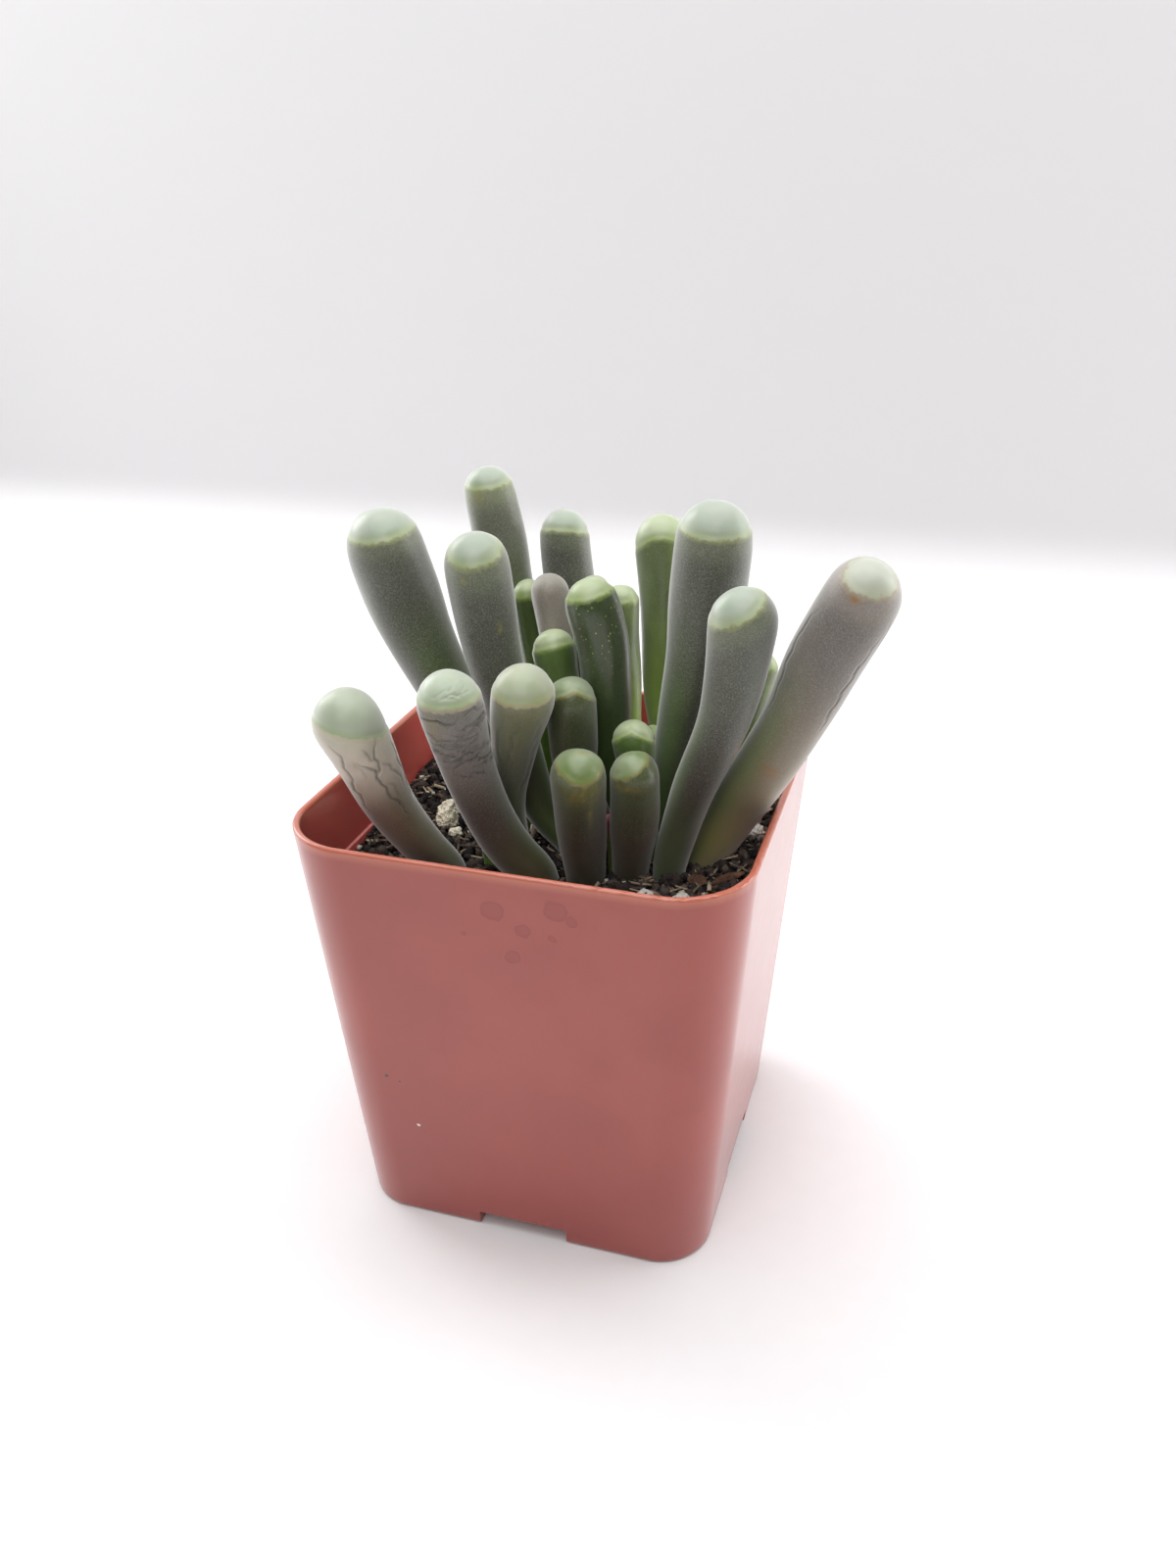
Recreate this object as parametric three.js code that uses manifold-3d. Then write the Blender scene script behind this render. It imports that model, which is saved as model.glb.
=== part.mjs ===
// Potted baby toes: a clump of window leaves in a small square nursery pot.
// Millimetres, +Z up. The front of the pot faces -Y and its right side +X.
// Everything is laid out from a point on the table under the middle of the
// pot. At the end the whole is moved so that its origin is the middle of the
// bounding box's bottom.

import * as THREE from 'three'
import { mergeVertices } from 'three/addons/utils/BufferGeometryUtils.js'
import Module from 'manifold-3d'

const wasm = await Module()
wasm.setup()

// Pot, outside
const POT_HEIGHT = 57
const RIM_WIDTH = 56
const BASE_WIDTH = 47
const RIM_CORNER = 9.3
const BASE_CORNER = 6.8
const CORNER_STEPS = 7
const LIP = 0.25
const FOOT_BEVEL = 0.5

// Pot, inside
const WALL_ABOVE_LEDGE = 0.9
const WALL_BELOW_LEDGE = 1.25
const LEDGE_DROP = 9.4
const CHANNEL_WIDTH = 12
const CHANNEL_HEIGHT = 2.3
const CHANNEL_WALL = 1.2
const FLOOR_TOP = 3.4
const FOOT_FLOOR = 1
const POCKET_BEVEL = 0.4
const DRAIN_RADIUS = 2.2
const DRAIN_SPACING = 13
const DRAIN_SIDES = 20

// Room left between pieces that touch, and how far a cutter runs past its cut
const FIT = 0.3
const PAST = 1
const WIDE = 100

// Points closer together than this are one point
const WELD = 1e-4

// Soil: its level, then mounds and dips as x, y, height and spread
const SOIL_LEVEL = 47.8
const SOIL_MOUNDS = [
  [-19, -17, -1.9, 8],
  [-17, 17, 2.0, 7],
  [14, -18, 1.7, 7],
  [24, -3, 1.8, 6],
]
const SOIL_CELL = 2.25
const LUMP_SPACING = 3.1
const LUMP_HEIGHT = 1.2
const GRAIN_HEIGHT = 0.8
const GRAIN_SHIFT = 0.6
const CRUMB_COUNT = 46
const CRUMB_MIN = 0.6
const CRUMB_MAX = 1.5
const CRUMB_EDGE = 2
const CRUMB_LENGTH = [0.8, 1.4]
const CRUMB_FLATNESS = [0.7, 1]
const CRUMB_LIFT = 0.1
const CRUMB_ROUGHNESS = 0.25
const CRUMB_SEED = 100
const SEED = 20

// How far the corners of a loose piece are pulled in, as a share of its size
const LOOSE_ROUGHNESS = 0.18

// Leaves
const LEAF_SIDES = 12
const YOUNG_SIDES = 8
const YOUNG_HALF = 1
const LEAF_RINGS = 8
const ROOT_LEVEL = 42
const ROOT_TAPER = 0.8
const FOOT_LEVEL = 48
const CLUMP_CENTRE = [4, 0]
const THREE_SIDED = 0.03
const DOME_ANGLES = [24, 46, 66, 82]
const HOLE_SIDES = 8

// Each leaf: its foot on the soil as x and y, then points of its middle line
// as x, y, z up to the centre of the rounded head, and its half widths at the
// foot and at those points.
const LEAVES = {
  leaf_front_1: {
    foot: [-11, -14],
    line: [[-13.6, -14.5, 50.6], [-17, -16, 56.5], [-18.6, -18, 63.4], [-19.8, -20, 69.3]],
    half: [2.4, 2.5, 3.0, 3.5, 4.1],
  },
  leaf_front_2: {
    foot: [0.2, -12.2],
    line: [[-3.1, -12.5, 50.7], [-6, -13.5, 56.3], [-7.6, -15.3, 64.3], [-8.3, -17, 71.7]],
    half: [2.6, 2.8, 2.9, 3.2, 3.9],
  },
  leaf_front_3: {
    foot: [-4.6, -7.2],
    line: [[-5.2, -7.8, 53], [-4.9, -8.4, 58], [-3.7, -9.7, 63.4], [-1.3, -12, 71.4]],
    half: [1.7, 1.9, 2.1, 2.7, 3.8],
  },
  leaf_front_4: {
    foot: [5.6, -11.2],
    line: [[5.6, -12.8, 56.3], [6.1, -15, 63.6]],
    half: [2.4, 3.1, 3.2],
  },
  leaf_front_5: {
    foot: [10.6, -9.2],
    line: [[11.6, -10.3, 56.6], [12, -11.8, 62.9]],
    half: [2.2, 3.0, 2.9],
  },
  leaf_front_6: {
    foot: [14.8, -6.9],
    line: [[16.3, -7.4, 54.4], [18.1, -7.5, 60.6], [21, -7.6, 67.9], [22.5, -7.8, 74.7], [23.2, -8, 81.1]],
    half: [2.0, 2.3, 2.6, 2.9, 3.4, 3.9],
  },
  leaf_front_7: {
    foot: [18.1, -2.2],
    line: [[19.5, -2.5, 51], [24.1, -3.3, 59.8], [28.2, -4.1, 67.5], [31.9, -5.3, 76.8], [35.4, -6.5, 84.5]],
    half: [2.8, 3.1, 3.5, 3.6, 4.3, 4.2],
  },
  leaf_middle_1: {
    foot: [2.2, -3.9],
    line: [[-3, -3.4, 52.7], [-6.9, -2.6, 65.2], [-10.1, -1, 76.6], [-11.2, 0, 82.7]],
    half: [2.1, 2.4, 2.9, 3.9, 4.1],
  },
  leaf_middle_2: {
    foot: [7, -4.1],
    line: [[2.9, -5, 57.5], [2.5, -5.7, 63.1], [2.7, -6.6, 69]],
    half: [1.8, 2.4, 3.0, 3.0],
  },
  leaf_middle_3: {
    foot: [11.1, -3.7],
    line: [[10.6, -4.9, 58.4], [10.1, -6, 64.6]],
    half: [1.7, 2.1, 2.5],
  },
  leaf_middle_4: {
    foot: [6.6, 0.8],
    line: [[5.2, 0.3, 60.7], [5, -0.1, 66.2], [4.9, -0.6, 74], [3.7, -1, 79.2]],
    half: [2.2, 2.7, 3.0, 3.2, 3.3],
  },
  leaf_middle_5: {
    foot: [1.7, 0.6],
    line: [[-0.5, 0.5, 64.1], [-1.4, 0.8, 69.1], [-1.9, 1.2, 72.1]],
    half: [1.7, 2.1, 2.5, 2.8],
  },
  leaf_middle_6: {
    foot: [11.8, 0.9],
    line: [[13.3, 0.9, 57.5], [14.7, 0.8, 64.3], [16.2, 0.8, 72.1], [17.1, 0.9, 80.6], [17.7, 1, 87.5]],
    half: [2.4, 2.8, 3.4, 4.0, 4.6, 4.5],
  },
  leaf_middle_7: {
    foot: [11.2, 5.5],
    line: [[10.3, 4.9, 56], [10, 4.2, 60.7]],
    half: [1.3, 1.5, 1.6],
  },
  leaf_middle_8: {
    foot: [7.4, 5.2],
    line: [[6.2, 5.1, 61.5], [5.7, 5.1, 69.5], [5.5, 5, 77.7]],
    half: [1.7, 2.0, 2.2, 2.3],
  },
  leaf_back_1: {
    foot: [-7.5, 1],
    line: [[-14.3, 1.2, 60.1], [-19.3, 1.5, 70.4], [-22.3, 1.8, 77.1], [-24.3, 2, 83.6]],
    half: [2.7, 3.2, 4.1, 4.9, 4.9],
  },
  leaf_back_2: {
    foot: [-4.5, 12],
    line: [[-11.3, 13.6, 70.4], [-13.7, 14.7, 80.7], [-15.4, 15.5, 87.8]],
    half: [2.2, 2.9, 3.5, 3.4],
  },
  leaf_back_3: {
    foot: [0.5, 9.8],
    line: [[-3.2, 12.4, 71.2], [-3.9, 13.3, 77.5], [-4.7, 14.1, 83.2]],
    half: [2.1, 2.8, 3.3, 3.3],
  },
  leaf_back_4: {
    foot: [-4.5, 6.8],
    line: [[-7.5, 8.7, 68.3], [-7.9, 9.2, 72.2], [-8.3, 9.7, 76.1]],
    half: [1.5, 1.7, 1.8, 2.2],
  },
  leaf_back_5: {
    foot: [-1.2, 4],
    line: [[-2.8, 5.6, 68.5], [-3.6, 6.3, 72.8], [-4.4, 7, 77.6]],
    half: [1.7, 2.0, 2.2, 2.5],
  },
  leaf_back_6: {
    foot: [2.8, 6.4],
    line: [[2.3, 8.1, 68], [1.7, 8.5, 73], [0.9, 9, 77.5]],
    half: [1.5, 1.8, 2.0, 2.2],
  },
  leaf_back_7: {
    foot: [12.5, 9.4],
    line: [[9.9, 9.7, 65.6], [10, 9.8, 73.5], [9.3, 10, 84.4]],
    half: [2.0, 2.8, 3.1, 3.3],
  },
  leaf_back_8: {
    foot: [17.5, 2.9],
    line: [[21.8, 3, 63], [22.6, 3, 67.6], [23.2, 3, 71.6]],
    half: [1.7, 1.9, 2.1, 2.3],
  },
  leaf_young: {
    foot: [-7.1, -10.2],
    line: [[-7.4, -10.2, 49.6], [-7.7, -10.1, 51]],
    half: [0.9, 0.9, 0.8],
  },
  flower_bud: {
    foot: [7.9, -7.3],
    line: [[7.9, -7.5, 51], [7.7, -8, 54.7]],
    half: [0.7, 0.8, 0.7],
  },
}

// Loose pieces lying half sunk in the soil: place, height of the middle above
// the soil, half sizes, turns about x, y and z in degrees, and a seed
const LOOSE = {
  pumice_cream: { at: [-16.8, -1.5], lift: 0.8, half: [1.8, 2.9, 2.2], turn: [0, 10, 20], seed: 3 },
  pumice_small: { at: [-14.2, -5.0], lift: 0.3, half: [1.1, 0.9, 0.9], turn: [0, 0, 40], seed: 11 },
  pumice_white: { at: [23.6, 3.6], lift: 0.6, half: [1.3, 2.0, 1.4], turn: [0, 0, 10], seed: 5 },
  pebble_grey: { at: [-5.2, -15.2], lift: 0.7, half: [1.0, 0.9, 0.8], turn: [0, 0, 0], seed: 7 },
  pebble_tan: { at: [-4.2, -1.4], lift: 0.5, half: [1.2, 1.0, 0.9], turn: [0, 0, 30], seed: 9 },
  pebble_white_1: { at: [14.3, -15.9], lift: 0.4, half: [1.2, 1.0, 0.9], turn: [0, 0, 15], seed: 13 },
  pebble_white_2: { at: [18.5, -15.2], lift: 0.5, half: [1.3, 1.1, 1.1], turn: [0, 20, 60], seed: 17 },
  bark_crumb: { at: [11.1, -14.9], lift: 0.5, half: [1.4, 1.2, 1.0], turn: [10, 0, 0], seed: 19 },
  bark_ball: { at: [16.2, -11.4], lift: 0.6, half: [1.5, 1.3, 1.2], turn: [0, 0, 0], seed: 23 },
  bark_strip: { at: [22.6, -8.6], lift: 0.6, half: [2.5, 0.7, 0.6], turn: [0, -12, 35], seed: 29 },
  dry_scale: { at: [18.9, -9.0], lift: 0.8, half: [1.6, 1.0, 0.45], turn: [25, -15, -20], seed: 31 },
}

const cinnabar = new THREE.MeshStandardMaterial({ color: 0xa5625c, roughness: 0.45 })
const greyGreen = new THREE.MeshStandardMaterial({ color: 0x7d8578, roughness: 0.6 })
const freshGreen = new THREE.MeshStandardMaterial({ color: 0x5c8a3c, roughness: 0.5 })
const peat = new THREE.MeshStandardMaterial({ color: 0x2e2622, roughness: 0.95 })
const pumice = new THREE.MeshStandardMaterial({ color: 0xd8cfb4, roughness: 0.9 })
const pebble = new THREE.MeshStandardMaterial({ color: 0x8f8a80, roughness: 0.85 })
const bark = new THREE.MeshStandardMaterial({ color: 0x6b4430, roughness: 0.9 })
const budPink = new THREE.MeshStandardMaterial({ color: 0xb0647a, roughness: 0.5 })

const leafFinish = {
  leaf_front_3: freshGreen,
  leaf_front_5: freshGreen,
  leaf_middle_2: freshGreen,
  leaf_middle_3: freshGreen,
  leaf_middle_4: freshGreen,
  leaf_middle_5: freshGreen,
  leaf_middle_7: freshGreen,
  leaf_middle_8: freshGreen,
  leaf_back_4: freshGreen,
  leaf_back_6: freshGreen,
  leaf_back_7: freshGreen,
  leaf_back_8: freshGreen,
  leaf_young: freshGreen,
  flower_bud: budPink,
}
const looseFinish = {
  pumice_cream: pumice,
  pumice_small: pumice,
  pumice_white: pumice,
  pebble_grey: pebble,
  pebble_tan: pebble,
  pebble_white_1: pumice,
  pebble_white_2: pumice,
  bark_crumb: bark,
  bark_ball: bark,
  bark_strip: bark,
  dry_scale: bark,
}

// A repeatable random number from 0 to 1
function randomFrom(seed) {
  let state = (seed * 2654435761) >>> 0
  return () => {
    state = (Math.imul(state ^ (state >>> 15), 2246822519) + 0x9e3779b9) >>> 0
    const mixed = Math.imul(state ^ (state >>> 13), 3266489917) >>> 0
    return ((mixed ^ (mixed >>> 16)) >>> 0) / 4294967296
  }
}

// The same shape with nothing but its points and faces
function bare(geometry) {
  const plain = geometry.clone()
  for (const extra of ['normal', 'uv']) {
    if (plain.attributes[extra]) plain.deleteAttribute(extra)
  }
  return plain
}

function toSolid(geometry) {
  const merged = mergeVertices(bare(geometry), WELD)
  return new wasm.Manifold(new wasm.Mesh({
    numProp: 3,
    vertProperties: new Float32Array(merged.attributes.position.array),
    triVerts: new Uint32Array(merged.index.array),
  }))
}

function toGeometry(solid) {
  const mesh = solid.getMesh()
  const geometry = new THREE.BufferGeometry()
  const stride = mesh.numProp
  const position = new Float32Array((mesh.vertProperties.length / stride) * 3)
  for (let i = 0; i < position.length / 3; i += 1) {
    position[3 * i] = mesh.vertProperties[stride * i]
    position[3 * i + 1] = mesh.vertProperties[stride * i + 1]
    position[3 * i + 2] = mesh.vertProperties[stride * i + 2]
  }
  geometry.setAttribute('position', new THREE.BufferAttribute(position, 3))
  geometry.setIndex(new THREE.BufferAttribute(new Uint32Array(mesh.triVerts), 1))
  geometry.computeVertexNormals()
  return geometry
}

// A closed body through rings of equally many points, flat at both ends
function loft(rings, bottomCentre, topCentre) {
  const count = rings[0].length
  const points = rings.flat()
  const faces = []
  for (let ring = 0; ring + 1 < rings.length; ring += 1) {
    for (let i = 0; i < count; i += 1) {
      const next = (i + 1) % count
      const low = ring * count
      const high = low + count
      faces.push(low + i, low + next, high + next, low + i, high + next, high + i)
    }
  }
  const bottom = points.length
  points.push(bottomCentre)
  const top = points.length
  points.push(topCentre)
  const last = (rings.length - 1) * count
  for (let i = 0; i < count; i += 1) {
    const next = (i + 1) % count
    faces.push(bottom, next, i, top, last + i, last + next)
  }
  const geometry = new THREE.BufferGeometry().setFromPoints(points)
  geometry.setIndex(faces)
  geometry.computeVertexNormals()
  return geometry
}

// One square outline with rounded corners, anticlockwise seen from above
function roundedSquare(half, corner, z) {
  const points = []
  for (let quarter = 0; quarter < 4; quarter += 1) {
    const middle = Math.PI / 4 + (quarter * Math.PI) / 2
    const cx = Math.sign(Math.cos(middle)) * (half - corner)
    const cy = Math.sign(Math.sin(middle)) * (half - corner)
    for (let step = 0; step <= CORNER_STEPS; step += 1) {
      const angle = (quarter * Math.PI) / 2 + (step / CORNER_STEPS) * (Math.PI / 2)
      points.push(new THREE.Vector3(cx + corner * Math.cos(angle), cy + corner * Math.sin(angle), z))
    }
  }
  return points
}

// The pot's outline at a height, moved inward by some distance
function potOutline(z, inward) {
  const share = z / POT_HEIGHT
  const half = BASE_WIDTH / 2 + ((RIM_WIDTH - BASE_WIDTH) / 2) * share - inward
  const corner = BASE_CORNER + (RIM_CORNER - BASE_CORNER) * share - inward
  return roundedSquare(half, corner, z)
}

function potLoft(levels) {
  const rings = levels.map(([z, inward]) => potOutline(z, inward))
  const low = new THREE.Vector3(0, 0, levels[0][0])
  const high = new THREE.Vector3(0, 0, levels[levels.length - 1][0])
  return toSolid(loft(rings, low, high))
}

// Two bars that cross under the middle of the pot, from below it to a height
function crossBars(width, high) {
  const tall = high + PAST
  const along = new THREE.BoxGeometry(WIDE, width, tall)
  const across = new THREE.BoxGeometry(width, WIDE, tall)
  along.translate(0, 0, high - tall / 2)
  across.translate(0, 0, high - tall / 2)
  return toSolid(along).add(toSolid(across))
}

function drain(x, y) {
  const tall = FLOOR_TOP + 2 * PAST
  const geometry = new THREE.CylinderGeometry(DRAIN_RADIUS, DRAIN_RADIUS, tall, DRAIN_SIDES)
  geometry.rotateX(Math.PI / 2)
  geometry.translate(x, y, FLOOR_TOP / 2)
  return toSolid(geometry)
}

// The room inside the pot, smaller by some fit: a main part above the raised
// floor, wider above a small ledge, and a pocket down into each of four feet
function potRoom(fit) {
  const ledge = POT_HEIGHT - LEDGE_DROP
  const step = WALL_BELOW_LEDGE - WALL_ABOVE_LEDGE
  const main = potLoft([
    [FLOOR_TOP + fit, WALL_BELOW_LEDGE + fit],
    [ledge - step / 2, WALL_BELOW_LEDGE + fit],
    [ledge + step / 2, WALL_ABOVE_LEDGE + fit],
    [POT_HEIGHT + PAST, WALL_ABOVE_LEDGE + fit],
  ])
  const pockets = potLoft([
    [FOOT_FLOOR + fit, WALL_BELOW_LEDGE + POCKET_BEVEL + fit],
    [FOOT_FLOOR + POCKET_BEVEL + fit, WALL_BELOW_LEDGE + fit],
    [FLOOR_TOP + fit + FIT, WALL_BELOW_LEDGE + fit],
  ])
  const between = crossBars(CHANNEL_WIDTH + 2 * CHANNEL_WALL + 2 * fit, FLOOR_TOP + fit + PAST)
  return main.add(pockets.subtract(between))
}

function makePot() {
  const outside = potLoft([
    [0, FOOT_BEVEL],
    [FOOT_BEVEL, 0],
    [POT_HEIGHT - LIP, 0],
    [POT_HEIGHT, LIP],
  ])
  const mouth = potLoft([
    [POT_HEIGHT - LIP, WALL_ABOVE_LEDGE],
    [POT_HEIGHT, WALL_ABOVE_LEDGE - LIP],
    [POT_HEIGHT + PAST, WALL_ABOVE_LEDGE - LIP],
  ])
  let pot = outside.subtract(potRoom(0)).subtract(mouth)
  pot = pot.subtract(crossBars(CHANNEL_WIDTH, CHANNEL_HEIGHT))
  const s = DRAIN_SPACING
  for (const [x, y] of [[0, 0], [s, 0], [-s, 0], [0, s], [0, -s]]) {
    pot = pot.subtract(drain(x, y))
  }
  return pot
}

// A smooth curve through a leaf's points with its half width along the way
function leafLine(leaf, rootLevel) {
  const foot = new THREE.Vector3(leaf.foot[0], leaf.foot[1], FOOT_LEVEL)
  const root = new THREE.Vector3(leaf.foot[0], leaf.foot[1], rootLevel)
  const upper = leaf.line.map((p) => new THREE.Vector3(...p))
  const curve = new THREE.CatmullRomCurve3([foot, ...upper], false, 'centripetal')
  const stations = [{ centre: root, half: leaf.half[0] * ROOT_TAPER }]
  const last = leaf.half.length - 1
  for (let i = 0; i <= LEAF_RINGS; i += 1) {
    const t = i / LEAF_RINGS
    const k = Math.min(Math.floor(t * last), last - 1)
    const share = t * last - k
    const eased = share * share * (3 - 2 * share)
    const half = leaf.half[k] * (1 - eased) + leaf.half[k + 1] * eased
    stations.push({ centre: curve.getPoint(t), half })
  }
  return stations
}

// A ring of points square to the leaf's run; point 0 faces away from the clump
function leafRing(centre, along, outward, half, sides) {
  const side = new THREE.Vector3().crossVectors(along, outward).normalize()
  const out = new THREE.Vector3().crossVectors(side, along).normalize()
  const ring = []
  for (let i = 0; i < sides; i += 1) {
    const angle = (i / sides) * Math.PI * 2
    const reach = half * (1 + THREE_SIDED * Math.cos(3 * angle))
    const point = centre.clone()
    point.addScaledVector(out, Math.cos(angle) * reach)
    point.addScaledVector(side, Math.sin(angle) * reach)
    ring.push(point)
  }
  return ring
}

// A leaf: a round finger that widens upward and ends in a dome. With extra it
// is the hole that the leaf stands in, wider all round.
function makeLeaf(leaf, extra = 0) {
  const stations = leafLine(leaf, ROOT_LEVEL - extra)
  const grown = leaf.half[0] < YOUNG_HALF ? YOUNG_SIDES : LEAF_SIDES
  const sides = extra > 0 ? HOLE_SIDES : grown
  const widen = extra > 0 ? 1 / Math.cos(Math.PI / sides) : 1
  const outward = new THREE.Vector3(leaf.foot[0] - CLUMP_CENTRE[0], leaf.foot[1] - CLUMP_CENTRE[1], 0)
  outward.normalize()
  const rings = []
  stations.forEach((station, i) => {
    const before = stations[Math.max(i - 1, 0)].centre
    const after = stations[Math.min(i + 1, stations.length - 1)].centre
    const along = new THREE.Vector3().subVectors(after, before).normalize()
    rings.push(leafRing(station.centre, along, outward, station.half * widen + extra, sides))
  })
  const head = stations[stations.length - 1]
  const neck = stations[stations.length - 2]
  const along = new THREE.Vector3().subVectors(head.centre, neck.centre).normalize()
  for (const degrees of DOME_ANGLES) {
    const angle = (degrees * Math.PI) / 180
    const centre = head.centre.clone().addScaledVector(along, Math.sin(angle) * (head.half + extra))
    rings.push(leafRing(centre, along, outward, Math.cos(angle) * (head.half * widen + extra), sides))
  }
  const tip = head.centre.clone().addScaledVector(along, head.half + extra)
  return loft(rings, stations[0].centre, tip)
}

function hash(a, b) {
  const raw = Math.sin(a * 127.1 + b * 311.7 + SEED * 17.3) * 43758.5453
  return raw - Math.floor(raw)
}

// Smooth noise from 0 to 1 with bumps of about one unit
function bumps(x, y) {
  const cx = Math.floor(x)
  const cy = Math.floor(y)
  const fx = x - cx
  const fy = y - cy
  const ux = fx * fx * (3 - 2 * fx)
  const uy = fy * fy * (3 - 2 * fy)
  const low = hash(cx, cy) * (1 - ux) + hash(cx + 1, cy) * ux
  const high = hash(cx, cy + 1) * (1 - ux) + hash(cx + 1, cy + 1) * ux
  return low * (1 - uy) + high * uy
}

function soilHeight(x, y) {
  let z = SOIL_LEVEL + LUMP_HEIGHT * (bumps(x / LUMP_SPACING, y / LUMP_SPACING) - 0.5)
  for (const [mx, my, height, spread] of SOIL_MOUNDS) {
    const away = ((x - mx) ** 2 + (y - my) ** 2) / (spread * spread)
    z += height * Math.exp(-away)
  }
  return z
}

// A block of soil with a bumpy top, wider than the pot so that it can be cut
function soilBlock() {
  const reach = RIM_WIDTH / 2
  const cells = Math.ceil((2 * reach) / SOIL_CELL)
  const geometry = new THREE.BoxGeometry(2 * reach, 2 * reach, 1, cells, cells, 1)
  const position = geometry.attributes.position
  for (let i = 0; i < position.count; i += 1) {
    const x = position.getX(i)
    const y = position.getY(i)
    const atEdge = Math.max(Math.abs(x), Math.abs(y)) > reach - FIT
    if (position.getZ(i) < 0) {
      position.setZ(i, 0)
    } else if (atEdge) {
      position.setZ(i, soilHeight(x, y))
    } else {
      const shift = GRAIN_SHIFT * SOIL_CELL
      const rise = GRAIN_HEIGHT * (hash(x, y) - 0.5)
      const dx = shift * (hash(x, y + reach) - 0.5)
      const dy = shift * (hash(x + reach, y) - 0.5)
      position.setXYZ(i, x + dx, y + dy, soilHeight(x, y) + rise)
    }
  }
  return toSolid(geometry)
}

// An uneven lump: a ball of flat faces with its corners pulled in and out
function makeLump(half, turn, seed, detail, roughness) {
  const random = randomFrom(seed)
  const geometry = mergeVertices(bare(new THREE.IcosahedronGeometry(1, detail)), WELD)
  const position = geometry.attributes.position
  for (let i = 0; i < position.count; i += 1) {
    const reach = 1 - roughness * random()
    position.setXYZ(i, position.getX(i) * reach, position.getY(i) * reach, position.getZ(i) * reach)
  }
  geometry.scale(...half)
  const angles = turn.map((degrees) => (degrees * Math.PI) / 180)
  geometry.applyMatrix4(new THREE.Matrix4().makeRotationFromEuler(new THREE.Euler(...angles)))
  return geometry
}

// Crumbs of peat and grit, sunk into the soil and joined to it
function makeCrumbs() {
  const random = randomFrom(SEED)
  const crumbs = []
  const reach = RIM_WIDTH / 2 - CRUMB_EDGE
  const between = ([low, high]) => low + (high - low) * random()
  for (let i = 0; i < CRUMB_COUNT; i += 1) {
    const x = (2 * random() - 1) * reach
    const y = (2 * random() - 1) * reach
    const size = CRUMB_MIN + (CRUMB_MAX - CRUMB_MIN) * random() ** 2
    const half = [size * between(CRUMB_LENGTH), size, size * between(CRUMB_FLATNESS)]
    const turn = [0, 0, 360 * random()]
    const crumb = makeLump(half, turn, CRUMB_SEED + i, 0, CRUMB_ROUGHNESS)
    crumb.translate(x, y, soilHeight(x, y) + CRUMB_LIFT * size)
    crumbs.push(toSolid(crumb))
  }
  return wasm.Manifold.union(crumbs)
}

function placeLoose(piece, extra = 0) {
  const half = piece.half.map((h) => h + extra)
  const geometry = makeLump(half, piece.turn, piece.seed, 1, LOOSE_ROUGHNESS)
  const [x, y] = piece.at
  geometry.translate(x, y, soilHeight(x, y) + piece.lift)
  return geometry
}

// Soil fills the pot, with a plain hole for each leaf and a seat for each
// loose piece
function makeSoil() {
  let soil = soilBlock().add(makeCrumbs()).intersect(potRoom(FIT))
  for (const leaf of Object.values(LEAVES)) {
    soil = soil.subtract(toSolid(makeLeaf(leaf, FIT)))
  }
  for (const piece of Object.values(LOOSE)) {
    soil = soil.subtract(toSolid(placeLoose(piece, FIT)))
  }
  const bodies = soil.decompose()
  bodies.sort((a, b) => b.volume() - a.volume())
  return bodies[0]
}

const plant = new THREE.Group()
plant.name = 'potted_baby_toes'

function addPart(name, geometry, material) {
  const mesh = new THREE.Mesh(geometry, material)
  mesh.name = name
  plant.add(mesh)
}

addPart('pot', toGeometry(makePot()), cinnabar)
addPart('soil', toGeometry(makeSoil()), peat)
for (const [name, leaf] of Object.entries(LEAVES)) {
  addPart(name, makeLeaf(leaf), leafFinish[name] ?? greyGreen)
}
for (const [name, piece] of Object.entries(LOOSE)) {
  addPart(name, placeLoose(piece), looseFinish[name])
}

// Move the origin under the middle of the whole
const extent = new THREE.Box3().setFromObject(plant)
const middle = extent.getCenter(new THREE.Vector3())
for (const mesh of plant.children) {
  mesh.geometry.translate(-middle.x, -middle.y, 0)
}

export default plant
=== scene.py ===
"""Dresses the potted baby toes: fleshy leaves with clear tips, a square pot and gritty soil.

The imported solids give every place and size. Lengths in the tables are millimetres, and
places round a leaf are degrees from the side that faces away from the clump.
"""

import logging
import math
from collections.abc import Callable, Iterator
from contextlib import contextmanager
from dataclasses import dataclass, field
from enum import Enum

import bpy
import numpy as np
from mathutils import Matrix, Vector, noise
from mathutils.bvhtree import BVHTree


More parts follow.
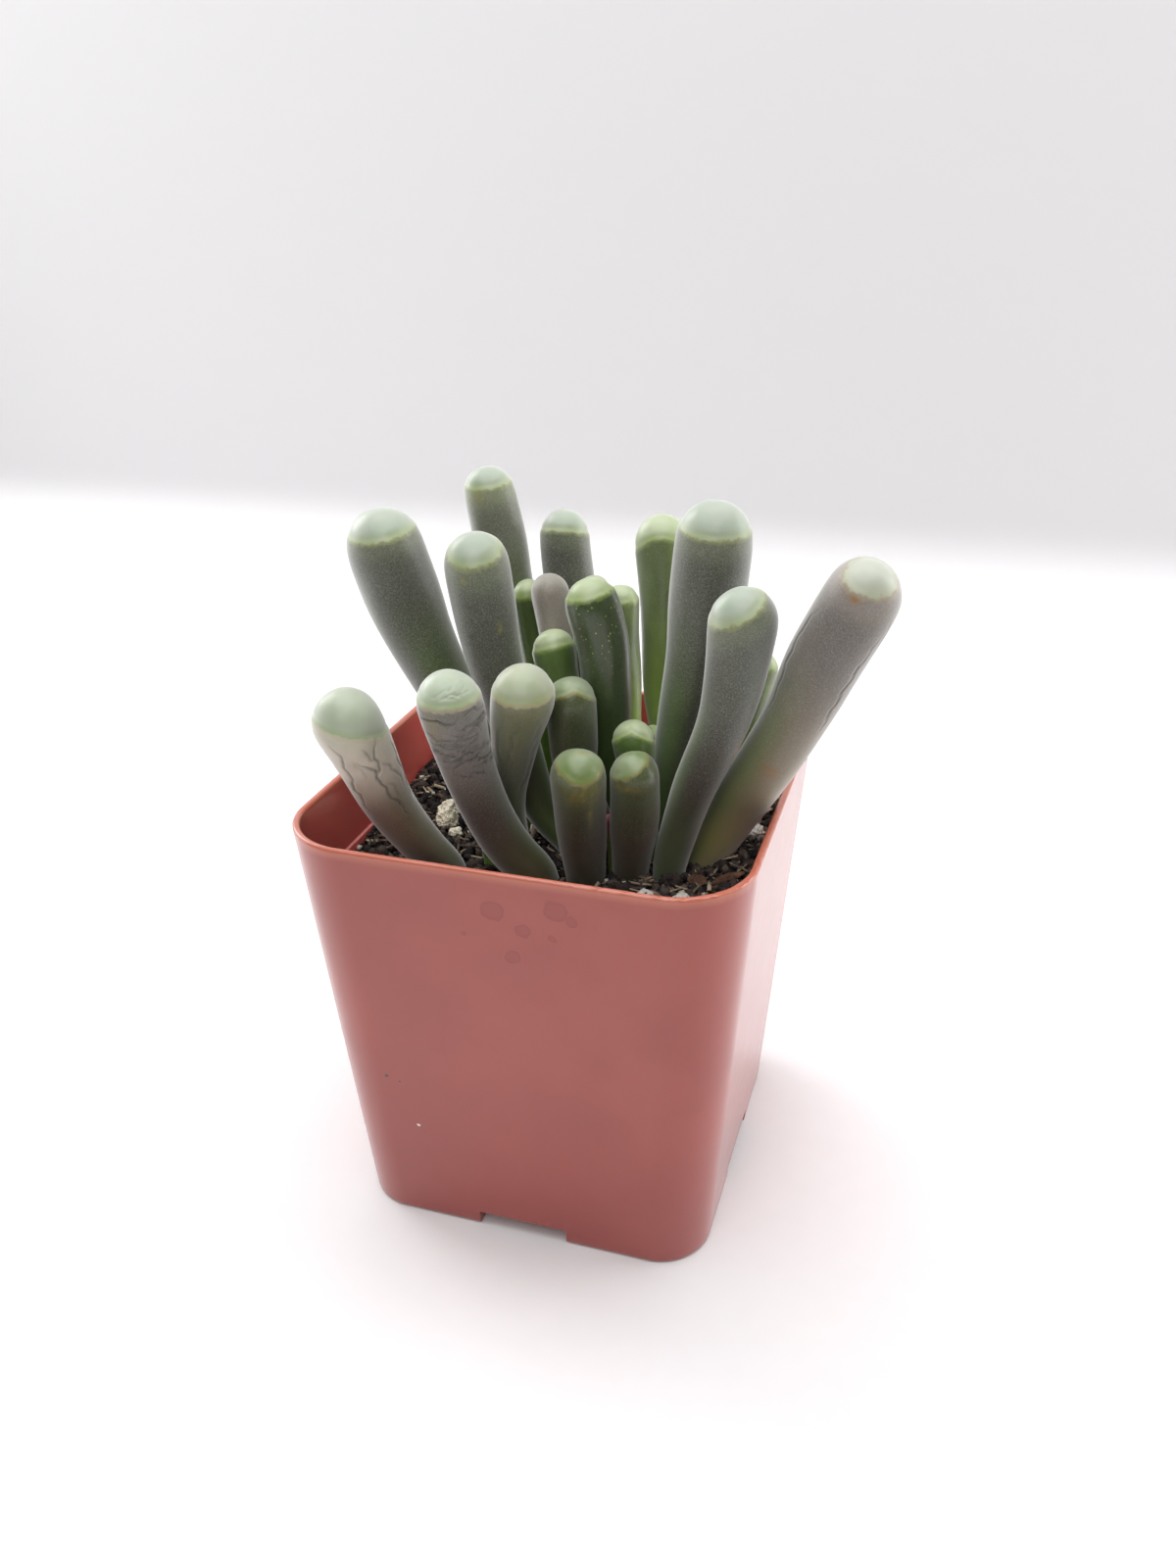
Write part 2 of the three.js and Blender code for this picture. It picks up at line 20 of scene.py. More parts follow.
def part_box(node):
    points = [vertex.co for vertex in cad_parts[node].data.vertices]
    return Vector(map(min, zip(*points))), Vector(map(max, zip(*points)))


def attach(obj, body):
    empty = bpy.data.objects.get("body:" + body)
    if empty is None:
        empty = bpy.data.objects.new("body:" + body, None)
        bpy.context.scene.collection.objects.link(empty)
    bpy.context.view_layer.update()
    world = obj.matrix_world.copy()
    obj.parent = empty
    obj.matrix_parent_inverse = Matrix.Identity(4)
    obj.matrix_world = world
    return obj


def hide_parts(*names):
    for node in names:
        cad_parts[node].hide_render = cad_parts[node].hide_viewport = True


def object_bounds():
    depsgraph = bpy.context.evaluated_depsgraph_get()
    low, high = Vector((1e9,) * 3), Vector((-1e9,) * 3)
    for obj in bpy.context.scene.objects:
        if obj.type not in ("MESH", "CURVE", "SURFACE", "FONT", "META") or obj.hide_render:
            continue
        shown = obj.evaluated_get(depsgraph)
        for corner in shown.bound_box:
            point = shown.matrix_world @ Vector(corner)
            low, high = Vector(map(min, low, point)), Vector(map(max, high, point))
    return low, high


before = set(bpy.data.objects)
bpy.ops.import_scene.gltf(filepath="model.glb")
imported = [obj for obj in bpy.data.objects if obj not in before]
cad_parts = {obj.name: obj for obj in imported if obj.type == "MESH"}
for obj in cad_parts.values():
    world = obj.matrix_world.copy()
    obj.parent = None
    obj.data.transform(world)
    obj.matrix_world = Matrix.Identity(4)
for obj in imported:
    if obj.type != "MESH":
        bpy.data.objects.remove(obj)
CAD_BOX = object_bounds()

log = logging.getLogger("baby_toes")

MM = 0.001
WELD = 1e-6
BODY = "root"
LEAF_SEED = 300
BUD_SEED = 400

Colour = tuple[float, float, float, float]
Triple = tuple[float, float, float]
Drop = tuple[float, float, float, float]
Input = "Wire | float | tuple"


def tone(red: int, green: int, blue: int) -> Colour:
    """Turn a screen colour into the linear colour that a shader takes.

    Args:
        red: Red from 0 to 255.
        green: Green from 0 to 255.
        blue: Blue from 0 to 255.

    Returns:
        The linear colour with full alpha.
    """
    shares = [value / 255 for value in (red, green, blue)]
    linear = [s / 12.92 if s <= 0.04045 else ((s + 0.055) / 1.055) ** 2.4 for s in shares]
    return (linear[0], linear[1], linear[2], 1.0)


# Shader toolkit


class Wire:
    """One output socket of a material, with arithmetic on it."""

    def __init__(self, paint: "Paint", socket: bpy.types.NodeSocket) -> None:
        """Remember the material and the socket."""
        self.paint = paint
        self.socket = socket

    def _math(self, operation: str, first: Input, second: Input) -> "Wire":
        """Add a Math node on two values and return its output."""
        return self.paint.node("ShaderNodeMath", {"operation": operation}, {0: first, 1: second})

    def __add__(self, other: Input) -> "Wire":
        """Add."""
        return self._math("ADD", self, other)

    __radd__ = __add__

    def __sub__(self, other: Input) -> "Wire":
        """Subtract."""
        return self._math("SUBTRACT", self, other)

    def __rsub__(self, other: Input) -> "Wire":
        """Subtract this from a number."""
        return self._math("SUBTRACT", other, self)

    def __mul__(self, other: Input) -> "Wire":
        """Multiply."""
        return self._math("MULTIPLY", self, other)

    __rmul__ = __mul__

    def step(self, low: float, high: float) -> "Wire":
        """Ease from 0 to 1 between two values.

        Args:
            low: The value that gives 0.
            high: The value that gives 1. It may be below low.

        Returns:
            The eased share.
        """
        settings = {"interpolation_type": "SMOOTHSTEP"}
        inputs = {"Value": self, "From Min": low, "From Max": high}
        return self.paint.node("ShaderNodeMapRange", settings, inputs)


class Paint:
    """A material being mixed: its node tree and the shader at its end."""

    def __init__(self, name: str) -> None:
        """Start an empty material with a Principled shader.

        Args:
            name: The material's name.
        """
        self.material = bpy.data.materials.new(name)
        self.material.use_nodes = True
        self.tree = self.material.node_tree
        self.tree.nodes.clear()
        self.shader = self.tree.nodes.new("ShaderNodeBsdfPrincipled")
        output = self.tree.nodes.new("ShaderNodeOutputMaterial")
        self.tree.links.new(self.shader.outputs[0], output.inputs["Surface"])

    def feed(self, socket: bpy.types.NodeSocket, value: Input) -> None:
        """Link a wire to a socket, or set the socket to a plain value."""
        if isinstance(value, Wire):
            self.tree.links.new(value.socket, socket)
        else:
            socket.default_value = value

    def node(self, kind: str, settings: dict, inputs: dict, output: int | str = 0) -> Wire:
        """Add one node.

        Args:
            kind: The node's type.
            settings: Properties that are set first.
            inputs: Sockets by name or number, with a wire or a value for each.
            output: Which output to return.

        Returns:
            The chosen output.
        """
        made = self.tree.nodes.new(kind)
        for name, value in settings.items():
            setattr(made, name, value)
        for name, value in inputs.items():
            self.feed(made.inputs[name], value)
        return Wire(self, made.outputs[output])

    def place(self) -> Wire:
        """Return the point on the piece, in metres."""
        return self.node("ShaderNodeTexCoord", {}, {}, "Object")

    def height(self) -> Wire:
        """Return the point's height on the piece, in metres."""
        return self.node("ShaderNodeSeparateXYZ", {}, {0: self.place()}, "Z")

    def swayed(self, reach: float, size: float) -> Wire:
        """Push the point on the piece by noise, so that round spots turn uneven.

        Args:
            reach: How far it is pushed at most, in metres.
            size: Width of a cloud of the noise in millimetres.

        Returns:
            The pushed point.
        """
        inputs = {"Vector": self.place(), "Scale": 1 / (size * MM), "Detail": 3.0}
        push = self.node("ShaderNodeTexNoise", {}, inputs, "Color")
        pushed = {0: push, 1: (reach,) * 3, 2: self.place()}
        return self.node("ShaderNodeVectorMath", {"operation": "MULTIPLY_ADD"}, pushed, "Vector")

    def stretched(self, scale: Triple) -> Wire:
        """Return the point on the piece with its axes stretched."""
        return self.node("ShaderNodeMapping", {}, {"Vector": self.place(), "Scale": scale})

    def read(self, name: str) -> Wire:
        """Return a number stored on the piece's points."""
        return self.node("ShaderNodeAttribute", {"attribute_name": name}, {}, "Fac")

    def clouds(self, size: float, detail: float = 2.0, at: Wire | None = None) -> Wire:
        """Noise from 0 to 1.

        Args:
            size: Width of a cloud in millimetres.
            detail: How many finer layers it has.
            at: Where to read it, by default the point on the piece.

        Returns:
            The noise.
        """
        inputs = {"Vector": at or self.place(), "Scale": 1 / (size * MM), "Detail": detail}
        return self.node("ShaderNodeTexNoise", {}, inputs)

    def dots(self, spacing: float, at: Wire | None = None) -> Wire:
        """Distance to the nearest of many scattered points, in spacings."""
        inputs = {"Vector": at or self.place(), "Scale": 1 / (spacing * MM)}
        return self.node("ShaderNodeTexVoronoi", {}, inputs)

    def away(self, centre: Triple, at: Wire) -> Wire:
        """Distance in metres from a point given in metres."""
        return self.node("ShaderNodeVectorMath", {"operation": "DISTANCE"}, {0: at, 1: centre}, "Value")

    def mix(self, share: Input, first: Input, second: Input, blend: str = "MIX") -> Wire:
        """Mix two colours.

        Args:
            share: 0 for the first colour, 1 for the second.
            first: A colour.
            second: A colour.
            blend: How the second is laid over the first.

        Returns:
            The mixed colour.
        """
        settings = {"data_type": "RGBA", "blend_type": blend}
        return self.node("ShaderNodeMix", settings, {0: share, 6: first, 7: second}, 2)

    def bump(self, height: Wire, depth: float, strength: float = 1.0) -> Wire:
        """Turn a height from 0 to 1 into a normal, for a relief of some depth in millimetres."""
        inputs = {"Height": height, "Distance": depth * MM, "Strength": strength}
        return self.node("ShaderNodeBump", {}, inputs)

    def finish(self, **inputs: Input) -> bpy.types.Material:
        """Feed the shader's sockets and return the material.

        Args:
            inputs: Values by socket name in small letters, with underscores for spaces.

        Returns:
            The finished material.
        """
        sockets = {socket.name.lower().replace(" ", "_"): socket for socket in self.shader.inputs}
        for name, value in inputs.items():
            self.feed(sockets[name], value)
        return self.material


# Finishes


@dataclass(frozen=True)
class LeafFinish:
    """Skin of a leaf: a clear tip over a darker body with a fine waxy bloom.

    Attributes:
        name: The material's name.
        clear: The window's colour at its middle.
        glow: The window's colour close to its edge.
        line: A thin line along the edge, and how strong it is.
        shade: The dark band under the edge, and how strong it is.
        upper: The body below the band.
        lower: The body farther down.
        base: The body where it meets the soil.
        inner: The side that faces the clump, and how strong it is.
        bloom: How much pale powder lies on the body.
        body_gloss: Roughness of the body.
        sheen: How much the powder shines along the leaf's sides.
        wet: How glossy the skin is over the body.
    """

    name: str
    clear: Colour
    glow: Colour
    line: tuple[Colour, float]
    shade: tuple[Colour, float]
    upper: Colour
    lower: Colour
    base: Colour
    inner: tuple[Colour, float]
    bloom: float = 0.24
    body_gloss: float = 0.5
    sheen: float = 0.85
    wet: float = 0.12

    YELLOW = tone(150, 138, 56)
    SPECK = tone(168, 178, 92)
    CORK = tone(150, 110, 60)
    POWDER = tone(205, 205, 195)
    # Painted shade laid into the wrinkles
    CREASE_SHADE = tone(45, 50, 42)
    MOTTLE = 0.7
    FINE = 0.16
    BROAD = 4.0
    FRAY = 0.9
    SPECK_SPACING = 0.55

    def material(self) -> bpy.types.Material:
        """Build the material.

        Returns:
            The material.
        """
        paint = Paint(self.name)
        window = paint.read("window")
        rise = paint.read("rise")
        outer = paint.read("outer")
        mottle = paint.clouds(self.MOTTLE, 3)
        fine = paint.clouds(self.FINE, 1)
        broad = paint.clouds(self.BROAD, 2)
        edge = window + (mottle - 0.5) * self.FRAY
        inside = edge.step(-0.1, 0.28)
        clear = paint.mix(window.step(0.0, 1.5), self.glow, self.clear)
        clear = paint.mix(broad.step(0.35, 0.75) * 0.25, clear, self.POWDER)
        body = paint.mix(rise.step(0.08, 0.45), self.base, self.lower)
        body = paint.mix(rise.step(0.38, 0.85), body, self.upper)
        body = paint.mix(outer.step(0.45, -0.5) * rise.step(0.9, 0.4) * self.inner[1], body, self.inner[0])
        body = paint.mix(edge.step(-3.4, -0.2) * self.shade[1], body, self.shade[0])
        body = paint.mix(broad.step(0.3, 0.8) * 0.3, body, self.lower)
        body = paint.node("ShaderNodeHueSaturation", {}, {"Value": paint.read("value"), "Color": body})
        powder = fine.step(0.35, 0.9) * rise.step(0.1, 0.7) * self.bloom
        body = paint.mix(powder, body, self.POWDER)
        specks = paint.dots(self.SPECK_SPACING).step(0.26, 0.14) * mottle.step(0.45, 0.55)
        body = paint.mix(specks * paint.read("speckle"), body, self.SPECK)
        skin = paint.mix(inside, body, clear)
        line = edge.step(-0.42, -0.12) * edge.step(0.3, 0.05)
        skin = paint.mix(line * self.line[1], skin, self.line[0])
        stain = paint.read("warm") * (0.35 + mottle.step(0.4, 0.62) * 0.5)
        skin = paint.mix(stain, skin, self.YELLOW)
        # Painted shade: the wrinkles are darkened, less on the window
        skin = paint.mix(paint.read("crease") * (0.56 - inside * 0.45), skin, self.CREASE_SHADE)
        skin = paint.mix(paint.read("cork") * mottle.step(0.3, 0.5), skin, self.CORK)
        roughness = self.body_gloss - inside * (self.body_gloss - 0.4) + (fine - 0.5) * 0.1
        return paint.finish(
            base_color=skin,
            roughness=roughness,
            coat_weight=self.wet + inside * (0.25 - self.wet),
            coat_roughness=0.26,
            subsurface_weight=0.2,
            subsurface_radius=(1.0, 1.0, 0.55),
            subsurface_scale=1.2 * MM,
            sheen_weight=self.sheen,
            sheen_roughness=0.5,
            normal=paint.bump(fine * 0.4 + mottle * 0.6, 0.05, 0.5),
        )


class Hue(Enum):
    """The kinds of leaf skin in the clump."""

    MAUVE = LeafFinish(
        "leaf_mauve",
        clear=tone(170, 182, 158),
        glow=tone(152, 168, 120),
        line=(tone(172, 162, 132), 0.7),
        shade=(tone(100, 98, 86), 0.6),
        upper=tone(116, 108, 100),
        lower=tone(60, 45, 28),
        base=tone(54, 54, 9),
        inner=(tone(78, 98, 50), 0.7),
    )
    ROSE = LeafFinish(
        "leaf_rose",
        clear=tone(184, 190, 176),
        glow=tone(172, 176, 148),
        line=(tone(164, 150, 124), 0.6),
        shade=(tone(148, 137, 130), 0.7),
        upper=tone(100, 92, 84),
        lower=tone(132, 118, 92),
        base=tone(142, 136, 76),
        inner=(tone(98, 120, 56), 0.85),
    )
    PALE = LeafFinish(
        "leaf_pale",
        clear=tone(164, 174, 150),
        glow=tone(152, 168, 122),
        line=(tone(186, 178, 150), 0.7),
        shade=(tone(188, 186, 162), 0.7),
        upper=tone(212, 200, 182),
        lower=tone(106, 87, 58),
        base=tone(30, 25, 7),
        inner=(tone(118, 128, 92), 0.4),
    )
    GREY = LeafFinish(
        "leaf_grey",
        clear=tone(158, 171, 151),
        glow=tone(152, 166, 114),
        line=(tone(150, 154, 100), 0.45),
        shade=(tone(111, 119, 91), 0.8),
        upper=tone(75, 78, 63),
        lower=tone(44, 40, 17),
        base=tone(60, 78, 12),
        inner=(tone(82, 112, 34), 0.85),
    )
    OLIVE = LeafFinish(
        "leaf_olive",
        clear=tone(123, 141, 94),
        glow=tone(110, 132, 64),
        line=(tone(156, 148, 84), 0.5),
        shade=(tone(76, 90, 42), 0.7),
        upper=tone(68, 80, 40),
        lower=tone(60, 47, 21),
        base=tone(48, 46, 8),
        inner=(tone(80, 112, 38), 0.85),
        bloom=0.12,
        body_gloss=0.4,
        sheen=0.35,
        wet=0.35,
    )
    MOSS = LeafFinish(
        "leaf_moss",
        clear=tone(166, 175, 143),
        glow=tone(150, 162, 108),
        line=(tone(180, 172, 124), 0.7),
        shade=(tone(122, 122, 84), 0.65),
        upper=tone(104, 108, 60),
        lower=tone(72, 76, 34),
        base=tone(60, 58, 28),
        inner=(tone(96, 112, 56), 0.6),
        bloom=0.15,
        body_gloss=0.4,
        sheen=0.9,
        wet=0.45,
    )
    FRESH = LeafFinish(
        "leaf_fresh",
        clear=tone(168, 182, 138),
        glow=tone(140, 162, 84),
        line=(tone(150, 168, 88), 0.4),
        shade=(tone(74, 98, 36), 0.75),
        upper=tone(84, 104, 50),
        lower=tone(78, 108, 36),
        base=tone(104, 146, 42),
        inner=(tone(92, 132, 38), 0.6),
        bloom=0.06,
        body_gloss=0.36,
        sheen=0.3,
        wet=0.55,
    )
    LIT = LeafFinish(
        "leaf_lit",
        clear=tone(174, 188, 146),
        glow=tone(146, 164, 94),
        line=(tone(150, 164, 96), 0.4),
        shade=(tone(96, 106, 62), 0.6),
        upper=tone(96, 110, 64),
        lower=tone(156, 180, 88),
        base=tone(206, 230, 120),
        inner=(tone(128, 152, 66), 0.5),
        bloom=0.12,
        body_gloss=0.36,
        sheen=0.5,
        wet=0.3,
    )


@dataclass(frozen=True)
class BudFinish:
    """Skin of the flower bud: green with a pink tip and dull ribs."""

    green: Colour = tone(120, 140, 70)
    pink: Colour = tone(190, 96, 120)
    rib: Colour = tone(150, 120, 110)

    def material(self) -> bpy.types.Material:
        """Build the material.

        Returns:
            The material.
        """
        paint = Paint("bud_skin")
        ribs = paint.clouds(0.4, 2, paint.stretched((1, 1, 0.25)))
        skin = paint.mix(paint.read("rise").step(0.55, 0.9), self.green, self.pink)
        skin = paint.mix(ribs * 0.4, skin, self.rib)
        return paint.finish(
            base_color=skin,
            roughness=0.4 + ribs * 0.15,
            subsurface_weight=0.2,
            subsurface_radius=(1.0, 0.7, 0.5),
            subsurface_scale=MM,
            normal=paint.bump(ribs, 0.08),
        )


@dataclass(frozen=True)
class PotFinish:
    """Rose-brown moulded plastic with water stains, specks of soil, a paler rim, painted shade near the foot
    and a painted lighter inside.

    Attributes:
        stains: Dried drops on the front, each as x, y and z from the pot's foot and a radius.
        specks: Dark specks of soil, given in the same way.
        flecks: Pale flecks, given in the same way.
        centre: The pot's middle line as x and y, in metres.
    """

    stains: tuple[Drop, ...]
    specks: tuple[Drop, ...]
    flecks: tuple[Drop, ...]
    centre: tuple[float, float]
    body: Colour = tone(168, 70, 57)
    deep: Colour = tone(148, 54, 46)
    rim: Colour = tone(196, 114, 90)
    stain: Colour = tone(146, 46, 38)
    # Painted light: the inside wall is lighter and redder, standing in for light through the thin wall and
    # bounced inside
    inner: Colour = tone(212, 100, 92)
    soot: Colour = tone(66, 40, 38)
    chalk: Colour = tone(232, 208, 198)

    SWAY = 0.0012
    SWAY_SIZE = 2.0
    # Painted shade: the pot is darker below this height
    SHADE_BELOW = 0.03

    def material(self) -> bpy.types.Material:
        """Build the material.

        Returns:
            The material.
        """
        paint = Paint("pot_plastic")
        broad = paint.clouds(14, 3)
        blotch = paint.clouds(2.6, 3)
        skin = paint.mix(broad.step(0.35, 0.7) * 0.4, self.body, self.deep)
        # Painted shade: the colour darkens towards the foot
        skin = paint.mix(paint.height().step(self.SHADE_BELOW, 0.0) * 0.5, skin, self.deep)
        # Painted light on the inside wall
        skin = paint.mix(paint.read("inside") * 0.8, skin, self.inner)
        skin = paint.mix(paint.read("rim") * 0.8, skin, self.rim)
        swayed = paint.swayed(self.SWAY, self.SWAY_SIZE)
        for drop in self.stains:
            gone = paint.away(self._middle(drop), swayed)
            r = drop[3] * MM
            share = gone.step(r, r * 0.85) * (0.5 + gone.step(r * 0.45, r * 0.95) * 0.3)
            skin = paint.mix(share, skin, self.stain)
        for colour, drops in ((self.soot, self.specks), (self.chalk, self.flecks)):
            for drop in drops:
                gone = paint.away(self._middle(drop), swayed)
                skin = paint.mix(gone.step(drop[3] * MM, drop[3] * 0.6 * MM), skin, colour)
        return paint.finish(
            base_color=skin,
            roughness=0.3 + blotch * 0.05,
            specular_ior_level=0.5,
            coat_weight=0.65,
            coat_roughness=0.12,
            subsurface_weight=0.2,
            subsurface_radius=(1.0, 0.8, 0.7),
            subsurface_scale=MM,
            normal=paint.bump(broad, 0.05, 0.5),
        )

    def _middle(self, drop: Drop) -> Triple:
        """Return a drop's middle in metres, moved by half of the sway."""
        x, y, z, _ = drop
        half = self.SWAY / 2
        return (self.centre[0] + x * MM + half, self.centre[1] + y * MM + half, z * MM + half)


@dataclass(frozen=True)
class GrainFinish:
    """Grains of one kind, each a little different in colour.

    Attributes:
        name: The material's name.
        dark: The darkest grains.
        middle: The usual grains.
        pale: The palest grains.
        pitted: How deep the surface is pitted, in millimetres.
    """

    name: str
    dark: Colour
    middle: Colour
    pale: Colour
    pitted: float = 0.15

    def material(self) -> bpy.types.Material:
        """Build the material.

        Returns:
            The material.
        """
        paint = Paint(self.name)
        share = paint.read("tone")
        grit = paint.clouds(0.35, 3)
        skin = paint.mix(share.step(0.0, 0.5), self.dark, self.middle)
        skin = paint.mix(share.step(0.5, 1.0), skin, self.pale)
        skin = paint.mix(grit.step(0.35, 0.7) * 0.35, skin, self.dark)
        return paint.finish(
            base_color=skin,
            roughness=0.8 + grit * 0.15,
            specular_ior_level=0.3,
            normal=paint.bump(grit, self.pitted),
        )


@dataclass(frozen=True)
class FloorFinish:
    """White seamless paper, with painted shade: it is grey where it turns up behind the pot."""

    white: Colour = tone(243, 242, 243)
    # Painted shade of the upturned paper, also the colour of the paper's fibres
    grey: Colour = tone(211, 210, 211)

    WALL_SHADE_FROM = 0.002
    WALL_SHADE_ABOVE = 0.03

    def material(self) -> bpy.types.Material:
        """Build the material.

        Returns:
            The material.
        """
        paint = Paint("paper")
        fibre = paint.clouds(3.0, 2)
        # Painted shade: the paper is grey where it turns up behind the pot
        skin = paint.mix(paint.height().step(self.WALL_SHADE_FROM, self.WALL_SHADE_ABOVE), self.white, self.grey)
        skin = paint.mix(fibre * 0.1, skin, self.grey)
        return paint.finish(base_color=skin, roughness=0.75 + fibre * 0.1, specular_ior_level=0.3)


PEAT = GrainFinish("peat", tone(24, 22, 22), tone(47, 41, 40), tone(94, 82, 74))
FIBRE = GrainFinish("peat_fibre", tone(58, 48, 42), tone(110, 94, 80), tone(194, 176, 150), 0.05)
GRIT = GrainFinish("grit", tone(140, 132, 120), tone(206, 200, 186), tone(244, 240, 230), 0.06)
BARK = GrainFinish("bark_chip", tone(28, 24, 23), tone(48, 40, 37), tone(82, 67, 58), 0.2)
PUMICE = GrainFinish("pumice_stone", tone(214, 200, 166), tone(250, 244, 222), tone(254, 250, 236), 0.25)
PEBBLE = GrainFinish("pebble_stone", tone(92, 88, 80), tone(150, 144, 132), tone(190, 182, 166), 0.1)
QUARTZ = GrainFinish("white_stone", tone(160, 158, 152), tone(206, 204, 198), tone(232, 230, 226), 0.12)
HUSK = GrainFinish("dry_husk", tone(54, 38, 30), tone(88, 62, 48), tone(136, 104, 80), 0.1)


# Mesh helpers


def only(piece: bpy.types.Object) -> None:
    """Deselect everything, then select one object and make it the active one."""
    bpy.ops.object.select_all(action="DESELECT")
    piece.select_set(True)
    bpy.context.view_layer.objects.active = piece


def start(add: Callable, name: str, **settings: object) -> bpy.types.Object:
    """Deselect everything and add the primitive that a piece starts from.

    Args:
        add: The operator that adds it.
        name: The piece's name.
        settings: The operator's settings.

    Returns:
        The new object.
    """
    bpy.ops.object.select_all(action="DESELECT")
    add(**settings)
    piece = bpy.context.active_object
    piece.name = name
    return piece


@contextmanager
def editing(piece: bpy.types.Object, action: str = "", kind: str = "EDGE") -> Iterator[None]:
    """Hold a piece in edit mode for a with block.

    Args:
        piece: The object.
        action: What is done to its selection first. Empty keeps it.
        kind: What is selected, vertices, edges or faces. It is set only with an action.
    """
    only(piece)
    bpy.ops.object.mode_set(mode="EDIT")
    if action:
        bpy.ops.mesh.select_mode(type=kind)
        bpy.ops.mesh.select_all(action=action)
    yield
    bpy.ops.object.mode_set(mode="OBJECT")


def chosen_points(mesh: bpy.types.Mesh) -> np.ndarray:
    """Return the numbers of a mesh's selected points."""
    return np.array([v.index for v in mesh.vertices if v.select])


def turn_from(angle: np.ndarray, degrees: float) -> np.ndarray:
    """Return how far angles in radians are turned from a direction in degrees, the short way."""
    return np.angle(np.exp(1j * (angle - math.radians(degrees))))


def noise_at(points: np.ndarray) -> np.ndarray:
    """Return smooth noise from -1 to 1 at each row of a table."""
    return np.array([noise.noise(Vector(point)) for point in points])


def select_edges(piece: bpy.types.Object, wanted: Callable[[Vector], bool]) -> None:
    """Select the edges whose two ends pass a test, and nothing else."""
    with editing(piece, "DESELECT"):
        pass
    for edge in piece.data.edges:
        edge.select = all(wanted(piece.data.vertices[k].co) for k in edge.vertices)


def points_of(mesh: bpy.types.Mesh) -> np.ndarray:
    """Return a mesh's points in millimetres, one row each."""
    flat = np.zeros(len(mesh.vertices) * 3, np.float64)
    mesh.vertices.foreach_get("co", flat)
    return flat.reshape(-1, 3) / MM


def set_points(mesh: bpy.types.Mesh, points: np.ndarray) -> None:
    """Write a mesh's points, given in millimetres."""
    mesh.vertices.foreach_set("co", (points * MM).ravel())
    mesh.update()


def normals_of(mesh: bpy.types.Mesh) -> np.ndarray:
    """Return a mesh's point normals, one row each."""
    flat = np.zeros(len(mesh.vertices) * 3, np.float64)
    mesh.vertices.foreach_get("normal", flat)
    return flat.reshape(-1, 3)


def store(mesh: bpy.types.Mesh, name: str, values: np.ndarray) -> None:
    """Store one number on each point of a mesh, for its material to read."""
    mesh.attributes.new(name, "FLOAT", "POINT").data.foreach_set("value", values.astype(np.float32))


def apply(piece: bpy.types.Object, kind: str, **settings: object) -> None:
    """Add a modifier to a piece and apply it.

    Args:
        piece: The object.
        kind: The modifier's type.
        settings: The modifier's properties.
    """
    only(piece)
    modifier = piece.modifiers.new(kind.lower(), kind)
    for name, value in settings.items():
        setattr(modifier, name, value)
    bpy.ops.object.modifier_apply(modifier=modifier.name)


def divide(piece: bpy.types.Object, levels: int) -> None:
    """Round a piece with a number of subdivision steps."""
    apply(piece, "SUBSURF", levels=levels, render_levels=levels)


def copy_of_node(node: str, name: str) -> bpy.types.Object:
    """Copy a CAD node as a new piece whose faces are joined.

    Args:
        node: The node's name.
        name: The new piece's name.

    Returns:
        The new piece.
    """
    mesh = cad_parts[node].data.copy()
    mesh.materials.clear()
    piece = bpy.data.objects.new(name, mesh)
    bpy.context.scene.collection.objects.link(piece)
    with editing(piece, "SELECT"):
        bpy.ops.mesh.remove_doubles(threshold=WELD)
    bpy.ops.mesh.customdata_custom_splitnormals_clear()
    return piece


def settle(
    piece: bpy.types.Object, material: bpy.types.Material, nodes: tuple[str, ...] = ()
) -> None:
    """Give a finished piece its material, its body and the nodes that it stands for.

    Args:
        piece: The finished piece.
        material: Its material.
        nodes: The CAD nodes that it replaces.
    """
    piece.data.materials.clear()
    piece.data.materials.append(material)
    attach(piece, BODY)
    if nodes:
        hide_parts(*nodes)
    log.info("%s: %d faces", piece.name, len(piece.data.polygons))


# Leaves


@dataclass(frozen=True)
class Window:
    """Where the clear tip of a leaf ends: a plane across its head, with one arch in it.

    Attributes:
        level: Height of the plane over the head's centre, in half widths of the head.
        tilt: Degrees that the plane leans from square to the leaf.
        toward: The side that it leans to, in degrees round the leaf.
        arch: Millimetres that the edge rises, or dips if below 0, at one side.
        arch_at: That side, in degrees round the leaf.
    """

    level: float
    tilt: float = 0.0
    toward: float = 0.0
    arch: float = 0.0
    arch_at: float = 0.0


@dataclass(frozen=True)
class Crease:
    """A wrinkle in a leaf's skin.

    Attributes:
        path: Its points as degrees round the leaf and millimetres below the head's centre.
        depth: Its depth in millimetres.
        width: Its half width in millimetres.
    """

    path: tuple[tuple[float, float], ...]
    depth: float = 0.22
    width: float = 0.16


class Mark(Enum):
    """The kinds of spot on a leaf, each by the stored number that it raises."""

    WARM = "warm"
    CORK = "cork"
    SPECKLE = "speckle"


@dataclass(frozen=True)
class Spot:
    """A stain or a corky scar on a leaf.

    Attributes:
        mark: Its kind.
        at: Its place as degrees round the leaf and millimetres below the head's centre.
        reach: Its half size round and along the leaf, in millimetres.
        strength: How strong it is.
    """

    mark: Mark
    at: tuple[float, float]
    reach: tuple[float, float]
    strength: float = 1.0


@dataclass(frozen=True)
class LeafPlan:
    """What one leaf looks like.

    Attributes:
        hue: Its skin.
        window: Where its clear tip ends.
        creases: Its wrinkles.
        spots: Its stains and scars.
        levels: How many times its solid is subdivided.
        value: How bright its body is beside others of its hue.
    """

    hue: Hue
    window: Window
    creases: tuple[Crease, ...] = ()
    spots: tuple[Spot, ...] = ()
    levels: int = 3
    value: float = 1.0


